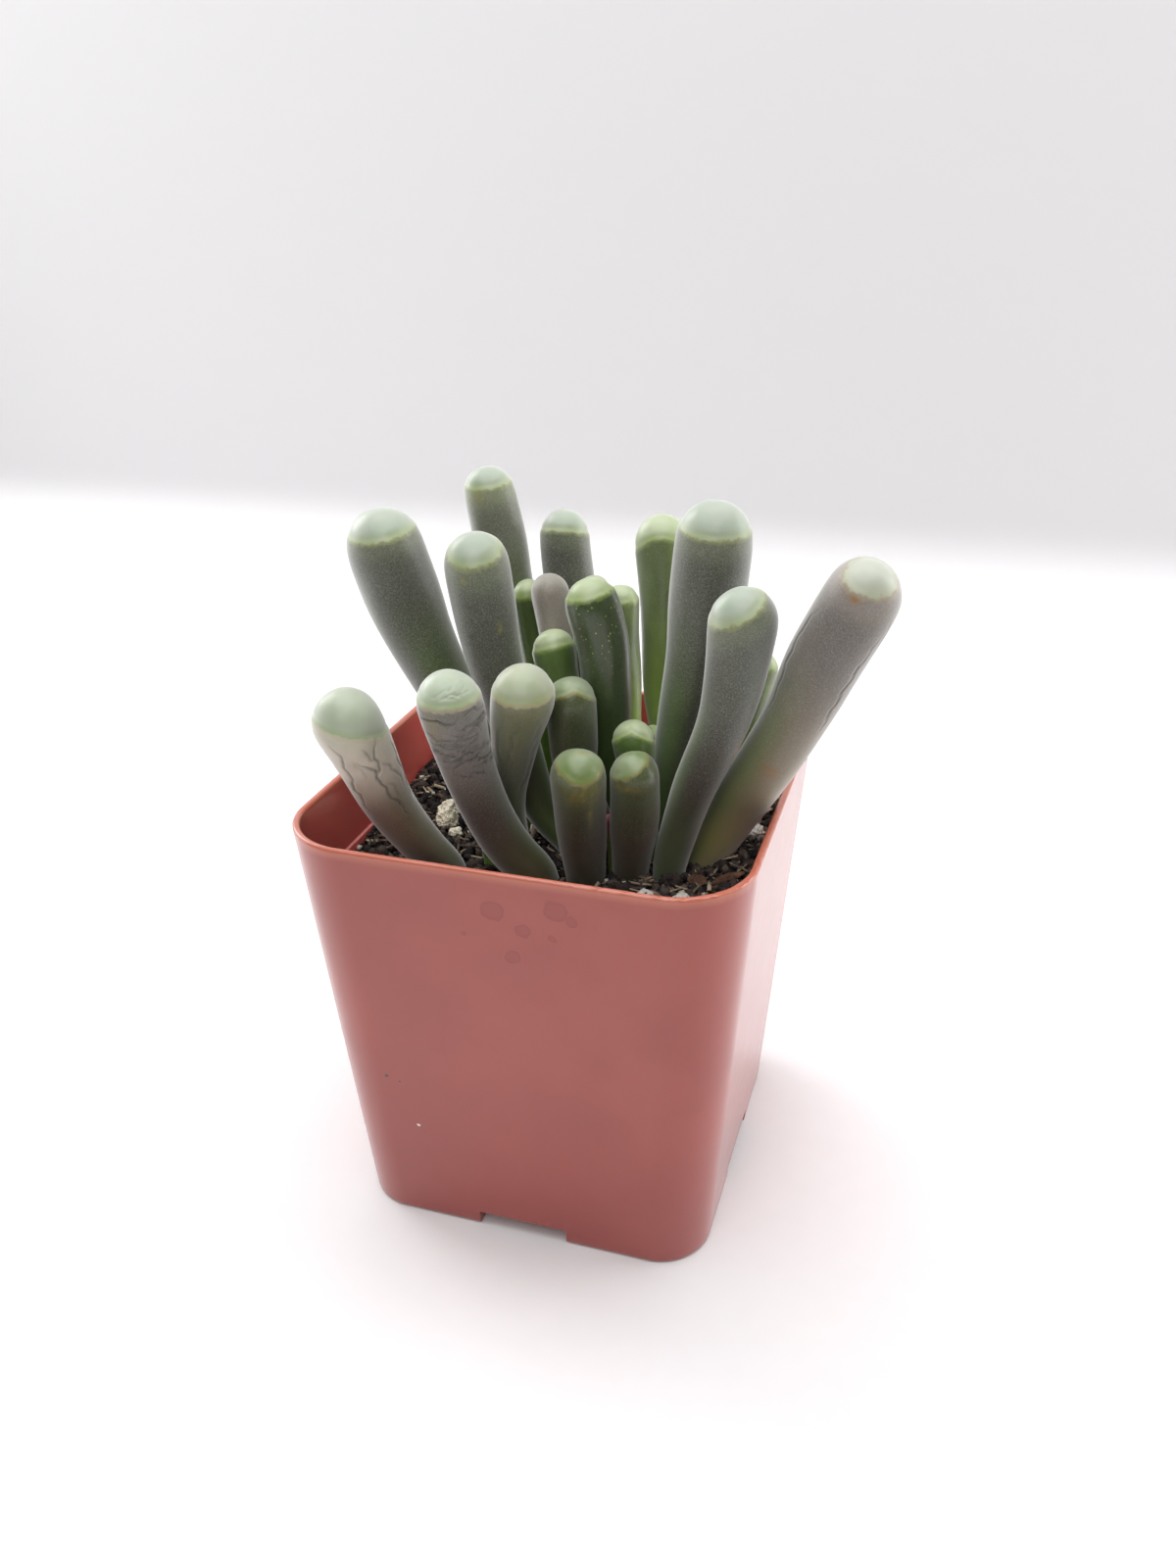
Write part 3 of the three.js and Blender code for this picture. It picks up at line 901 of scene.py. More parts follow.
def cross_wrinkles(
    seed: int, count: int, side: tuple[float, float], down: tuple[float, float], depth: float
) -> tuple[Crease, ...]:
    """Scatter short wavy wrinkles across a patch of a leaf.

    Args:
        seed: Seed of the draw.
        count: How many wrinkles.
        side: Degrees round the leaf between which they start.
        down: Millimetres below the head between which they lie.
        depth: Depth of the deepest in millimetres.

    Returns:
        The wrinkles.
    """
    draw = np.random.default_rng(seed)
    made = []
    for _ in range(count):
        angle = draw.uniform(*side)
        level = draw.uniform(*down)
        path = [(angle, level)]
        for _ in range(int(draw.integers(2, 7))):
            angle += draw.uniform(8, 18)
            level += draw.normal(0, 0.35)
            path.append((angle, level))
        made.append(Crease(tuple(path), depth * draw.uniform(0.35, 1), draw.uniform(0.1, 0.16)))
    return tuple(made)


FRONT_1_CREASES = (
    Crease(
        ((40, -0.1), (47, 1.3), (45, 2.6), (40, 4.8), (38, 6.3), (31, 7.7), (36, 9.3), (33, 11.2)), 0.26, 0.17
    ),
    Crease(((68, 3.2), (78, 4.4), (88, 5.4), (90, 7.1), (92, 9.1), (100, 11.4), (108, 13.8)), 0.3, 0.18),
    Crease(((114, 1.4), (104, 2.8), (102, 4.4), (96, 5.6), (89, 6.2)), 0.24, 0.17),
    Crease(((84, 1.6), (90, 2.6), (94, 3.6), (101, 4.0)), 0.16),
    Crease(((104, 4.8), (118, 6.0), (128, 7.6), (132, 9.6)), 0.14),
    Crease(((62, 2.6), (68, 4.4), (66, 6.2)), 0.08),
    Crease(((96, 7.4), (108, 8.8), (112, 10.6)), 0.1),
    Crease(((150, 3.0), (146, 6.0), (152, 9.0), (146, 12.0))),
    Crease(((-60, 1.0), (-66, 4.0), (-58, 7.5), (-64, 11.0))),
    Crease(((-120, 2.0), (-112, 5.0), (-118, 9.0))),
    Crease(((-10, 2.0), (-4, 5.0), (-12, 8.0)), 0.16),
)
FRONT_3_CREASES = (
    Crease(((70, 0.2), (60, 3.8), (59, 7.5), (66, 10.6)), 0.14, 0.2),
    Crease(((97, 0.2), (112, 5.4), (118, 10.4), (106, 15.1)), 0.14, 0.2),
    Crease(((40, 0.4), (26, 5.6), (34, 9.4)), 0.1, 0.18),
)
FRONT_7_CREASES = (
    Crease(((-133, 1.9), (-144, 4.8), (-142, 9.5), (-138, 13.4), (-139, 17.2)), 0.12),
    Crease(((-23, 2.2), (-29, 6.2), (-31, 9.9), (-31, 14.0), (-28, 15.9)), 0.14),
    Crease(((-17, 0.1), (-6, 4.3), (-5, 9.1)), 0.1),
    Crease(((60, 2.0), (66, 8.0), (58, 15.0)), 0.12),
)

LEAVES = {
    "leaf_front_1": LeafPlan(Hue.PALE, Window(-0.06, 36, 180), FRONT_1_CREASES, levels=4),
    "leaf_front_2": LeafPlan(
        Hue.MAUVE,
        Window(0.29, 7, 145),
        cross_wrinkles(5, 40, (-28, 84), (0.0, 7.8), 0.32)
        + cross_wrinkles(9, 6, (10, 60), (-3.2, -1.8), 0.08),
        (Spot(Mark.WARM, (4, 0.8), (0.9, 2.0), 0.5),),
        levels=4,
    ),
    "leaf_front_3": LeafPlan(Hue.MOSS, Window(0.28, 12, -48), FRONT_3_CREASES),
    "leaf_front_4": LeafPlan(
        Hue.OLIVE,
        Window(0.56, 7, 84, -0.5, 24),
        spots=(
            Spot(Mark.WARM, (24, 0.3), (2.2, 1.6), 0.6),
            Spot(Mark.WARM, (33, 3.0), (0.3, 2.0), 0.6),
            Spot(Mark.WARM, (125, -3.1), (0.3, 0.3)),
        ),
    ),
    "leaf_front_5": LeafPlan(
        Hue.OLIVE, Window(0.53, 28, -121), spots=(Spot(Mark.WARM, (-60, 0.0), (2.2, 0.5), 0.6),)
    ),
    "leaf_front_6": LeafPlan(
        Hue.GREY, Window(0.5, 34, -108), spots=(Spot(Mark.CORK, (14, 13.9), (0.5, 1.1)),)
    ),
    "leaf_front_7": LeafPlan(
        Hue.ROSE,
        Window(0.69, 21, -96),
        FRONT_7_CREASES,
        (
            Spot(Mark.CORK, (-94, -1.2), (0.6, 0.4)),
            Spot(Mark.CORK, (-70, 22.6), (1.4, 0.3)),
            Spot(Mark.CORK, (-66, 23.5), (1.0, 0.26)),
            Spot(Mark.WARM, (-91, 35.0), (2.0, 2.2), 0.3),
        ),
        levels=4,
    ),
    "leaf_middle_1": LeafPlan(
        Hue.GREY,
        Window(0.55, 38, 46),
        spots=(Spot(Mark.WARM, (22, 1.3), (0.35, 0.35)), Spot(Mark.WARM, (73, 7.7), (0.35, 0.4))),
    ),
    "leaf_middle_2": LeafPlan(Hue.OLIVE, Window(0.1, 27, 154, 0.9, -5)),
    "leaf_middle_3": LeafPlan(Hue.FRESH, Window(-0.1, 30, 119, 1.1, -48), value=1.2),
    "leaf_middle_4": LeafPlan(
        Hue.FRESH, Window(0.42, 2), spots=(Spot(Mark.SPECKLE, (-100, 2.0), (5.0, 5.0)),), value=0.44
    ),
    "leaf_middle_5": LeafPlan(Hue.FRESH, Window(0.14, 9, -13), value=1.25),
    "leaf_middle_6": LeafPlan(Hue.GREY, Window(0.33, 9, -90)),
    "leaf_middle_7": LeafPlan(Hue.FRESH, Window(0.4), levels=2),
    "leaf_middle_8": LeafPlan(Hue.LIT, Window(0.22)),
    "leaf_back_1": LeafPlan(Hue.GREY, Window(0.4, 14, 146)),
    "leaf_back_2": LeafPlan(
        Hue.GREY, Window(0.39, 18, 180), spots=(Spot(Mark.WARM, (142, 0.3), (1.2, 0.8), 0.6),), value=1.7
    ),
    "leaf_back_3": LeafPlan(Hue.GREY, Window(0.05, 12, -58), value=0.85),
    "leaf_back_4": LeafPlan(Hue.FRESH, Window(-0.06), levels=2),
    "leaf_back_5": LeafPlan(Hue.MAUVE, Window(1.2), levels=2, value=1.7),
    "leaf_back_6": LeafPlan(Hue.FRESH, Window(0.2), levels=2),
    "leaf_back_7": LeafPlan(Hue.LIT, Window(-0.33, 24, 61, 0.6, -130)),
    "leaf_back_8": LeafPlan(Hue.LIT, Window(0.3), levels=2),
    "leaf_young": LeafPlan(Hue.FRESH, Window(0.6), levels=2),
}


class LeafLine:
    """The middle line of a leaf and its rings, read from its solid."""

    HEAD_RING = 5
    POLE_EDGES = 8
    CLUMP_FROM_LEFT = 33.265
    CLUMP = np.array([CAD_BOX[0][0] / MM + CLUMP_FROM_LEFT, 0.0])

    def __init__(self, mesh: bpy.types.Mesh) -> None:
        """Find the rings by walking down from the tip.

        Args:
            mesh: The leaf's solid with its faces joined.
        """
        neighbours = [[] for _ in mesh.vertices]
        for edge in mesh.edges:
            first, second = edge.vertices
            neighbours[first].append(second)
            neighbours[second].append(first)
        points = points_of(mesh)
        poles = [i for i, near in enumerate(neighbours) if len(near) >= self.POLE_EDGES]
        tip = max(poles, key=lambda i: points[i][2])
        seen = {tip}
        self.rings = [[tip]]
        while self.rings[-1]:
            reached = {j for i in self.rings[-1] for j in neighbours[i]} - seen
            seen |= reached
            self.rings.append(sorted(reached))
        self.rings.pop()
        centres = np.array([points[ring].mean(axis=0) for ring in self.rings])
        self.tip = centres[0]
        self.centres = centres[self.HEAD_RING:-1]
        self.head = self.centres[0]
        self.half = float(np.linalg.norm(self.tip - self.head))
        self.axis = (self.tip - self.head) / self.half
        outward = self.centres[-1][:2] - self.CLUMP
        self.outward = np.array([*(outward / np.linalg.norm(outward)), 0.0])
        steps = self.centres[:-1] - self.centres[1:]
        self.lengths = np.linalg.norm(steps, axis=1)
        runs = steps / self.lengths[:, None]
        joints = np.vstack([self.axis, (runs[:-1] + runs[1:]) / 2, runs[-1]])
        self.runs = joints / np.linalg.norm(joints, axis=1)[:, None]
        self.below = np.concatenate([[0.0], np.cumsum(self.lengths)])

    def locate(self, points: np.ndarray) -> tuple[np.ndarray, np.ndarray, np.ndarray]:
        """Say where points lie on the leaf.

        Args:
            points: Points in millimetres, one row each.

        Returns:
            Angle round the leaf in radians, millimetres below the head's centre, and
            distance from the middle line, each with one number a point.
        """
        best = np.full(len(points), np.inf)
        down = np.zeros(len(points))
        nearest = np.zeros_like(points)
        run = np.zeros_like(points)
        for i, length in enumerate(self.lengths):
            step = self.centres[i + 1] - self.centres[i]
            share = np.clip((points - self.centres[i]) @ step / length**2, 0, 1)
            spot = self.centres[i] + share[:, None] * step
            gone = np.linalg.norm(points - spot, axis=1)
            closer = gone < best
            best[closer] = gone[closer]
            down[closer] = (self.below[i] + share * length)[closer]
            nearest[closer] = spot[closer]
            turned = self.runs[i] * (1 - share)[:, None] + self.runs[i + 1] * share[:, None]
            run[closer] = turned[closer]
        over = (points - self.head) @ self.axis
        above = over > 0
        down[above] = -over[above]
        nearest[above] = self.head + over[above][:, None] * self.axis
        run[above] = self.axis
        away = points - nearest
        side = np.cross(run, self.outward)
        side /= np.linalg.norm(side, axis=1)[:, None]
        out = np.cross(side, run)
        angle = np.arctan2((away * side).sum(axis=1), (away * out).sum(axis=1))
        return angle, down, np.linalg.norm(away, axis=1)


@dataclass
class Leaf:
    """One leaf, made finer from its solid.

    Attributes:
        node: The CAD node's name.
        plan: What it looks like.
        seed: Seed of its small unevenness.
        spread: How much wider the cage is than the leaf that it rounds to.
        waviness: Height of its slow waves in millimetres.
    """

    node: str
    plan: LeafPlan
    seed: int
    spread: float = 1.047
    waviness: float = 0.07
    line: LeafLine = field(init=False)

    # Where across the dome its height is gauged, and how near to that, in half widths
    GAUGE = (0.45, 0.08)
    # The tip is round up to the first share of the half width, fading over the second
    ROUND = (0.6, 0.3)
    # Height, place inside the window's edge and width of the lip and the groove along it
    EDGE_WAVES = ((0.05, 0.1, 0.5), (-0.07, 0.55, 0.35))
    ARCH_WIDTH = 0.7
    WAVES = 7
    WAVE_PITCH = (0.15, 0.6)
    # Size in millimetres, pace down the leaf and start of the waves that make a wrinkle wind
    SWAYS = ((0.16, 2.0, 0.6), (0.06, 4.9, 2.1))
    # How thin a wrinkle is at its ends, beside its middle
    THIN_END = 0.4
    # How much wider than a wrinkle its bank is, and its height as a share of the depth
    BANK = (3.0, 0.3)
    # The depth from which the painted shade in a wrinkle is as dark as it gets
    FULL_SHADE_DEPTH = 0.2
    RELIEF = (-0.5, 0.25)

    def build(self) -> bpy.types.Object:
        """Make the leaf's skin.

        Returns:
            The finished mesh with its stored numbers.
        """
        piece = copy_of_node(self.node, f"{self.node}_skin")
        self.line = LeafLine(piece.data)
        self._join_quads(piece)
        self._widen_cage(piece.data)
        divide(piece, self.plan.levels)
        self._fit_head(piece.data)
        self._shape(piece.data)
        only(piece)
        bpy.ops.object.shade_smooth()
        return piece

    def _join_quads(self, piece: bpy.types.Object) -> None:
        """Join the triangles in pairs, except round the two poles."""
        poles = {self.line.rings[0][0], self.line.rings[-1][0]}
        widest = math.radians(60)
        with editing(piece, "DESELECT", "FACE"):
            pass
        for face in piece.data.polygons:
            face.select = not poles & set(face.vertices)
        with editing(piece):
            bpy.ops.mesh.tris_convert_to_quads(face_threshold=widest, shape_threshold=widest)

    def _widen_cage(self, mesh: bpy.types.Mesh) -> None:
        """Widen each ring, because subdivision draws it in."""
        points = points_of(mesh)
        for ring in self.line.rings[1:-1]:
            centre = points[ring].mean(axis=0)
            points[ring] = centre + (points[ring] - centre) * self.spread
        set_points(mesh, points)

    def _fit_head(self, mesh: bpy.types.Mesh) -> None:
        """Stretch the dome back to the height of the solid, and round its very tip."""
        points = points_of(mesh)
        over = (points - self.line.head) @ self.line.axis
        across = np.linalg.norm(points - self.line.head - over[:, None] * self.line.axis, axis=1)
        share = np.minimum(across / self.line.half, 0.99)
        dome = np.sqrt(1 - share**2)
        ring = (over > 0) & (np.abs(share - self.GAUGE[0]) < self.GAUGE[1])
        crown = (over[ring] / dome[ring]).mean()
        wanted = over * self.line.half / crown
        rounded = np.clip((self.ROUND[0] - share) / self.ROUND[1], 0, 1)
        wanted += (self.line.half * dome - wanted) * rounded
        points += (np.where(over > 0, wanted - over, 0))[:, None] * self.line.axis
        set_points(mesh, points)

    def _shape(self, mesh: bpy.types.Mesh) -> None:
        """Add waves, the window's edge and the wrinkles, and store what the skin needs."""
        points = points_of(mesh)
        normals = normals_of(mesh)
        angle, down, reach = self.line.locate(points)
        window = self._window(points, angle)
        crease, relief = self._creases(angle, down, reach)
        lift = self._waves(angle, down) * np.minimum(reach / self.line.half, 1) + relief
        for height, at, wide in self.EDGE_WAVES:
            lift += height * np.exp(-(((window - at) / wide) ** 2))
        set_points(mesh, points + normals * lift[:, None])
        length = self.line.below[-2]
        store(mesh, "window", window)
        store(mesh, "rise", np.clip(1 - down / length, 0, 1.2))
        store(mesh, "outer", np.cos(angle))
        store(mesh, "value", np.full(len(angle), self.plan.value))
        # The painted shade in the wrinkles, read by the skin's colour
        store(mesh, "crease", crease)
        for mark in Mark:
            store(mesh, mark.value, self._spots(mark, angle, down, reach))

    def _window(self, points: np.ndarray, angle: np.ndarray) -> np.ndarray:
        """Distance of each point inside the window's edge, in millimetres."""
        plan = self.plan.window
        tilt = math.radians(plan.tilt)
        toward = math.radians(plan.toward)
        side = np.cross(self.line.axis, self.line.outward)
        side /= np.linalg.norm(side)
        out = np.cross(side, self.line.axis)
        lean = out * math.cos(toward) + side * math.sin(toward)
        normal = self.line.axis * math.cos(tilt) + lean * math.sin(tilt)
        height = (points - self.line.head) @ normal - plan.level * self.line.half
        turn = turn_from(angle, plan.arch_at)
        return height - plan.arch * np.exp(-((turn / self.ARCH_WIDTH) ** 2))

    def _waves(self, angle: np.ndarray, down: np.ndarray) -> np.ndarray:
        """Slow unevenness of the skin in millimetres."""
        draw = np.random.default_rng(self.seed)
        total = np.zeros(len(angle))
        for _ in range(self.WAVES):
            turns = int(draw.integers(1, 4))
            pitch = draw.uniform(*self.WAVE_PITCH)
            total += np.sin(turns * angle + pitch * down + draw.uniform(0, 2 * math.pi))
        return total * self.waviness / math.sqrt(self.WAVES)

    def _creases(
        self, angle: np.ndarray, down: np.ndarray, reach: np.ndarray
    ) -> tuple[np.ndarray, np.ndarray]:
        """How deep in a wrinkle each point lies, and how dark the painted shade in it is.

        Args:
            angle: Angle round the leaf in radians.
            down: Millimetres below the head's centre.
            reach: Distance from the middle line.

        Returns:
            How dark the painted shade in the wrinkle is from 0 to 1, and the relief in millimetres.
        """
        dark = np.zeros(len(angle))
        relief = np.zeros(len(angle))
        for crease in self.plan.creases:
            groove, bank = self._groove(crease, angle, down, reach)
            # Painted shade, darker in deeper wrinkles
            dark = np.maximum(dark, groove * min(1.0, crease.depth / self.FULL_SHADE_DEPTH))
            relief += crease.depth * (self.BANK[1] * bank - groove)
        return dark, np.clip(relief, *self.RELIEF)

    def _groove(
        self, crease: Crease, angle: np.ndarray, down: np.ndarray, reach: np.ndarray
    ) -> tuple[np.ndarray, np.ndarray]:
        """How far in one wrinkle, and how far up its banks, each point lies.

        Args:
            crease: The wrinkle.
            angle: Angle round the leaf in radians.
            down: Millimetres below the head's centre.
            reach: Distance from the middle line.

        Returns:
            Both as numbers from 0 to 1.
        """
        groove = np.zeros(len(angle))
        bank = np.zeros(len(angle))
        sway = sum(size * np.sin(pace * down + offset) for size, pace, offset in self.SWAYS)
        steps = len(crease.path) - 1
        for place in range(steps):
            (turn_a, down_a), (turn_b, down_b) = crease.path[place : place + 2]
            across = turn_from(angle, turn_a) * reach + sway
            along = down - down_a
            step = (math.radians(turn_b - turn_a) * self.line.half, down_b - down_a)
            size = step[0] ** 2 + step[1] ** 2
            part = np.clip((across * step[0] + along * step[1]) / size, 0, 1)
            gone = np.hypot(across - part * step[0], along - part * step[1])
            run = (place + part) / steps
            middle = np.clip(4 * np.minimum(run, 1 - run), 0, 1)
            fine = self.THIN_END + (1 - self.THIN_END) * middle
            groove = np.maximum(groove, fine * np.exp(-((gone / (fine * crease.width)) ** 2)))
            bank = np.maximum(bank, fine * np.exp(-((gone / (self.BANK[0] * crease.width)) ** 2)))
        return groove, bank

    def _spots(self, mark: Mark, angle: np.ndarray, down: np.ndarray, reach: np.ndarray) -> np.ndarray:
        """Strength of one kind of spot at each point, from 0 to 1."""
        total = np.zeros(len(angle))
        for spot in self.plan.spots:
            if spot.mark == mark:
                across = turn_from(angle, spot.at[0]) * reach
                gone = (across / spot.reach[0]) ** 2 + ((down - spot.at[1]) / spot.reach[1]) ** 2
                total = np.maximum(total, spot.strength * np.exp(-gone))
        return total


# Pot


@dataclass
class Pot:
    """The square pot: a thin wall with a rounded lip, a ledge inside and notched feet.

    The sizes are those of its solid, and its lip and foot are rounded here.

    Attributes:
        height: Its height.
        rim_half: Half its width at the rim.
        base_half: Half its width at the foot.
        rim_corner: Radius of its corners at the rim.
        base_corner: Radius of its corners at the foot.
        wall_top: Thickness of the wall above the ledge.
        wall_low: Thickness of the wall below the ledge.
        ledge: Height of the ledge.
        floor: Height of the floor's top.
        notch_width: Width of the notches under the sides.
        notch_height: Height of those notches.
        drain_radius: Radius of the drain holes.
        drain_spacing: Distance of the outer holes from the middle one.
        lip: Radius of the lip's edges.
        foot: Radius of the foot's edge.
        sides: How many points go round it.
        wall_steps: How many rings the outer wall has.
        flash_at: The corner of the rim with the most flash, from the middle line.
        centre_x: Place of its middle line.
    """

    height: float = 57.0
    rim_half: float = 28.0
    base_half: float = 23.5
    rim_corner: float = 9.3
    base_corner: float = 6.8
    wall_top: float = 0.9
    wall_low: float = 1.25
    ledge: float = 47.6
    floor: float = 3.4
    notch_width: float = 12.0
    notch_height: float = 2.3
    drain_radius: float = 2.2
    drain_spacing: float = 13.0
    lip: float = 0.4
    foot: float = 0.6
    sides: int = 640
    wall_steps: int = 24
    flash_at: tuple[float, float] = (22.0, -22.0)
    centre_x: float = field(init=False)

    def __post_init__(self) -> None:
        """Read the pot's middle line from its node."""
        low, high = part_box("pot")
        self.centre_x = (low.x + high.x) / 2 / MM

    def direction(self, points: np.ndarray) -> np.ndarray:
        """Return the directions of points from the middle line, in radians."""
        return np.arctan2(points[:, 1], points[:, 0] - self.centre_x)

    def reach(self, angle: np.ndarray, z: float | np.ndarray, inward: float) -> np.ndarray:
        """Distance from the middle line to the pot's outline.

        Args:
            angle: Directions in radians.
            z: Height.
            inward: How far inside the outer face.

        Returns:
            The distances.
        """
        share = z / self.height
        half = self.base_half + (self.rim_half - self.base_half) * share - inward
        corner = self.base_corner + (self.rim_corner - self.base_corner) * share - inward
        across = np.abs(np.cos(angle))
        along = np.abs(np.sin(angle))
        flat = half / np.maximum(across, along)
        middle = half - corner
        total = (across + along) * middle
        bend = total + np.sqrt(np.maximum(total**2 - 2 * middle**2 + corner**2, 0))
        return np.where(flat * np.minimum(across, along) <= middle, flat, bend)

    def outline(self, angle: np.ndarray, z: float, inward: float) -> np.ndarray:
        """Return points on the pot's outline at one height, a row for each direction."""
        reach = self.reach(angle, z, inward)
        across = self.centre_x + reach * np.cos(angle)
        return np.column_stack([across, reach * np.sin(angle), np.full(len(angle), z)])

    def move_onto(self, mesh: bpy.types.Mesh, z: float, inward: float) -> None:
        """Move a mesh's selected points onto the outline at one height."""
        points = points_of(mesh)
        chosen = chosen_points(mesh)
        points[chosen] = self.outline(self.direction(points[chosen]), z, inward)
        set_points(mesh, points)

    def _levels(self) -> list[tuple[float, float]]:
        """Heights and insets of the wall's section, from the foot over the lip to the floor."""
        arc = [math.radians(a) for a in (0, 18, 36, 54, 72, 90)]
        top = self.height
        levels = [(self.foot * (1 - math.cos(a)), self.foot * (1 - math.sin(a))) for a in arc]
        levels += [(z, 0.0) for z in np.linspace(self.foot + 1, top - self.lip - 1, self.wall_steps)]
        levels += [(top - self.lip * (1 - math.sin(a)), self.lip * (1 - math.cos(a))) for a in arc]
        inner = self.wall_top - self.lip
        levels += [(top - self.lip * (1 - math.cos(a)), inner + self.lip * math.sin(a)) for a in arc]
        levels += [(z, self.wall_top) for z in np.linspace(top - 1.2, self.ledge + 0.5, 6)]
        levels += [(self.ledge + 0.2, self.wall_top + 0.02), (self.ledge + 0.05, self.wall_low - 0.05)]
        levels += [(self.ledge - 0.15, self.wall_low), (self.ledge - 6, self.wall_low)]
        levels += [(self.floor + 0.5, self.wall_low), (self.floor, self.wall_low + 0.5)]
        return levels

    def build(self) -> bpy.types.Object:
        """Make the pot.

        Returns:
            The finished mesh with its stored numbers.
        """
        levels = self._levels()
        circle = bpy.ops.mesh.primitive_circle_add
        radius = self.base_half * MM
        piece = start(circle, "pot_wall", vertices=self.sides, radius=radius, fill_type="NGON")
        points = points_of(piece.data)
        set_points(piece.data, self.outline(np.arctan2(points[:, 1], points[:, 0]), *levels[0]))
        with editing(piece, "SELECT"):
            pass
        for z, inward in levels[1:]:
            with editing(piece):
                bpy.ops.mesh.extrude_edges_move()
            self.move_onto(piece.data, z, inward)
        with editing(piece):
            bpy.ops.mesh.edge_face_add()
            bpy.ops.mesh.select_all(action="SELECT")
            bpy.ops.mesh.normals_make_consistent(inside=False)
        self._cut(piece)
        self._flash(piece.data)
        points = points_of(piece.data)
        gone = np.hypot(points[:, 0] - self.centre_x, points[:, 1])
        half_wall = self.reach(self.direction(points), points[:, 2], self.wall_top / 2)
        # Marks the inside wall, where painted light makes the plastic lighter and redder
        store(piece.data, "inside", gone < half_wall)
        store(piece.data, "rim", np.clip((points[:, 2] - self.height + 0.75) / 0.35, 0, 1))
        only(piece)
        bpy.ops.object.shade_smooth_by_angle(angle=math.radians(35))
        return piece

    def _cut(self, piece: bpy.types.Object) -> None:
        """Cut the notches under the sides and the drain holes."""
        past = 1.0
        across = 100.0
        tall = self.notch_height + past
        cube = bpy.ops.mesh.primitive_cube_add
        cylinder = bpy.ops.mesh.primitive_cylinder_add
        cutters = []
        for wide, deep in ((across, self.notch_width), (self.notch_width, across)):
            middle = (self.centre_x * MM, 0, (self.notch_height - tall / 2) * MM)
            cutter = start(cube, "notch", size=1, location=middle)
            cutter.scale = (wide * MM, deep * MM, tall * MM)
            cutters.append(cutter)
        radius = self.drain_radius * MM
        depth = (self.floor + 2 * past) * MM
        for x, y in ((0, 0), (1, 0), (-1, 0), (0, 1), (0, -1)):
            middle = (self.centre_x + x * self.drain_spacing, y * self.drain_spacing, self.floor / 2)
            place = [value * MM for value in middle]
            cutters.append(start(cylinder, "drain", vertices=40, radius=radius, depth=depth, location=place))
        for cutter in cutters:
            apply(piece, "BOOLEAN", operation="DIFFERENCE", object=cutter, solver="EXACT")
            bpy.data.objects.remove(cutter)

    def _flash(self, mesh: bpy.types.Mesh) -> None:
        """Fray the lip's outer edge with thin flash, most at one corner."""
        points = points_of(mesh)
        x = points[:, 0] - self.centre_x
        y = points[:, 1]
        near_top = np.clip((points[:, 2] - self.height + 0.45) / 0.3, 0, 1)
        angle = self.direction(points)
        outer = np.hypot(x, y) - self.reach(angle, self.height, self.wall_top / 2) > 0
        corner = np.exp(-(((x - self.flash_at[0]) / 12) ** 2) - ((y - self.flash_at[1]) / 14) ** 2)
        flakes = noise_at(np.column_stack([x * 1.4, y * 1.4, np.full(len(x), 3.1)]))
        nicks = noise_at(np.column_stack([x * 3.7, y * 3.7, np.full(len(x), 8.4)]))
        amount = near_top * outer * (0.05 + 0.3 * corner)
        push = amount * np.clip(flakes + 0.6 * nicks, -0.2, 1)
        points[:, 0] += np.cos(angle) * push
        points[:, 1] += np.sin(angle) * push
        points[:, 2] -= near_top * (0.04 + 0.18 * corner) * np.clip(nicks, 0, 1)
        set_points(mesh, points)

    def finish(self) -> PotFinish:
        """Return the pot's finish, with dried drops on its front."""
        stains = (
            (0.0, -27.6, 52.0, 1.5),
            (3.4, -27.4, 49.8, 1.1),
            (7.4, -27.7, 53.3, 1.6),
            (9.3, -27.6, 52.2, 0.8),
            (1.9, -27.1, 45.9, 0.9),
            (-3.8, -27.3, 48.2, 0.4),
            (6.9, -27.4, 49.5, 0.5),
        )
        specks = ((-16.6, -25.4, 23.6, 0.3), (-14.8, -25.3, 22.9, 0.22), (-20.3, -25.5, 26.0, 0.3))
        flecks = ((-13.1, -24.8, 16.2, 0.3),)
        return PotFinish(stains, specks, flecks, (self.centre_x * MM, 0.0))


# Soil


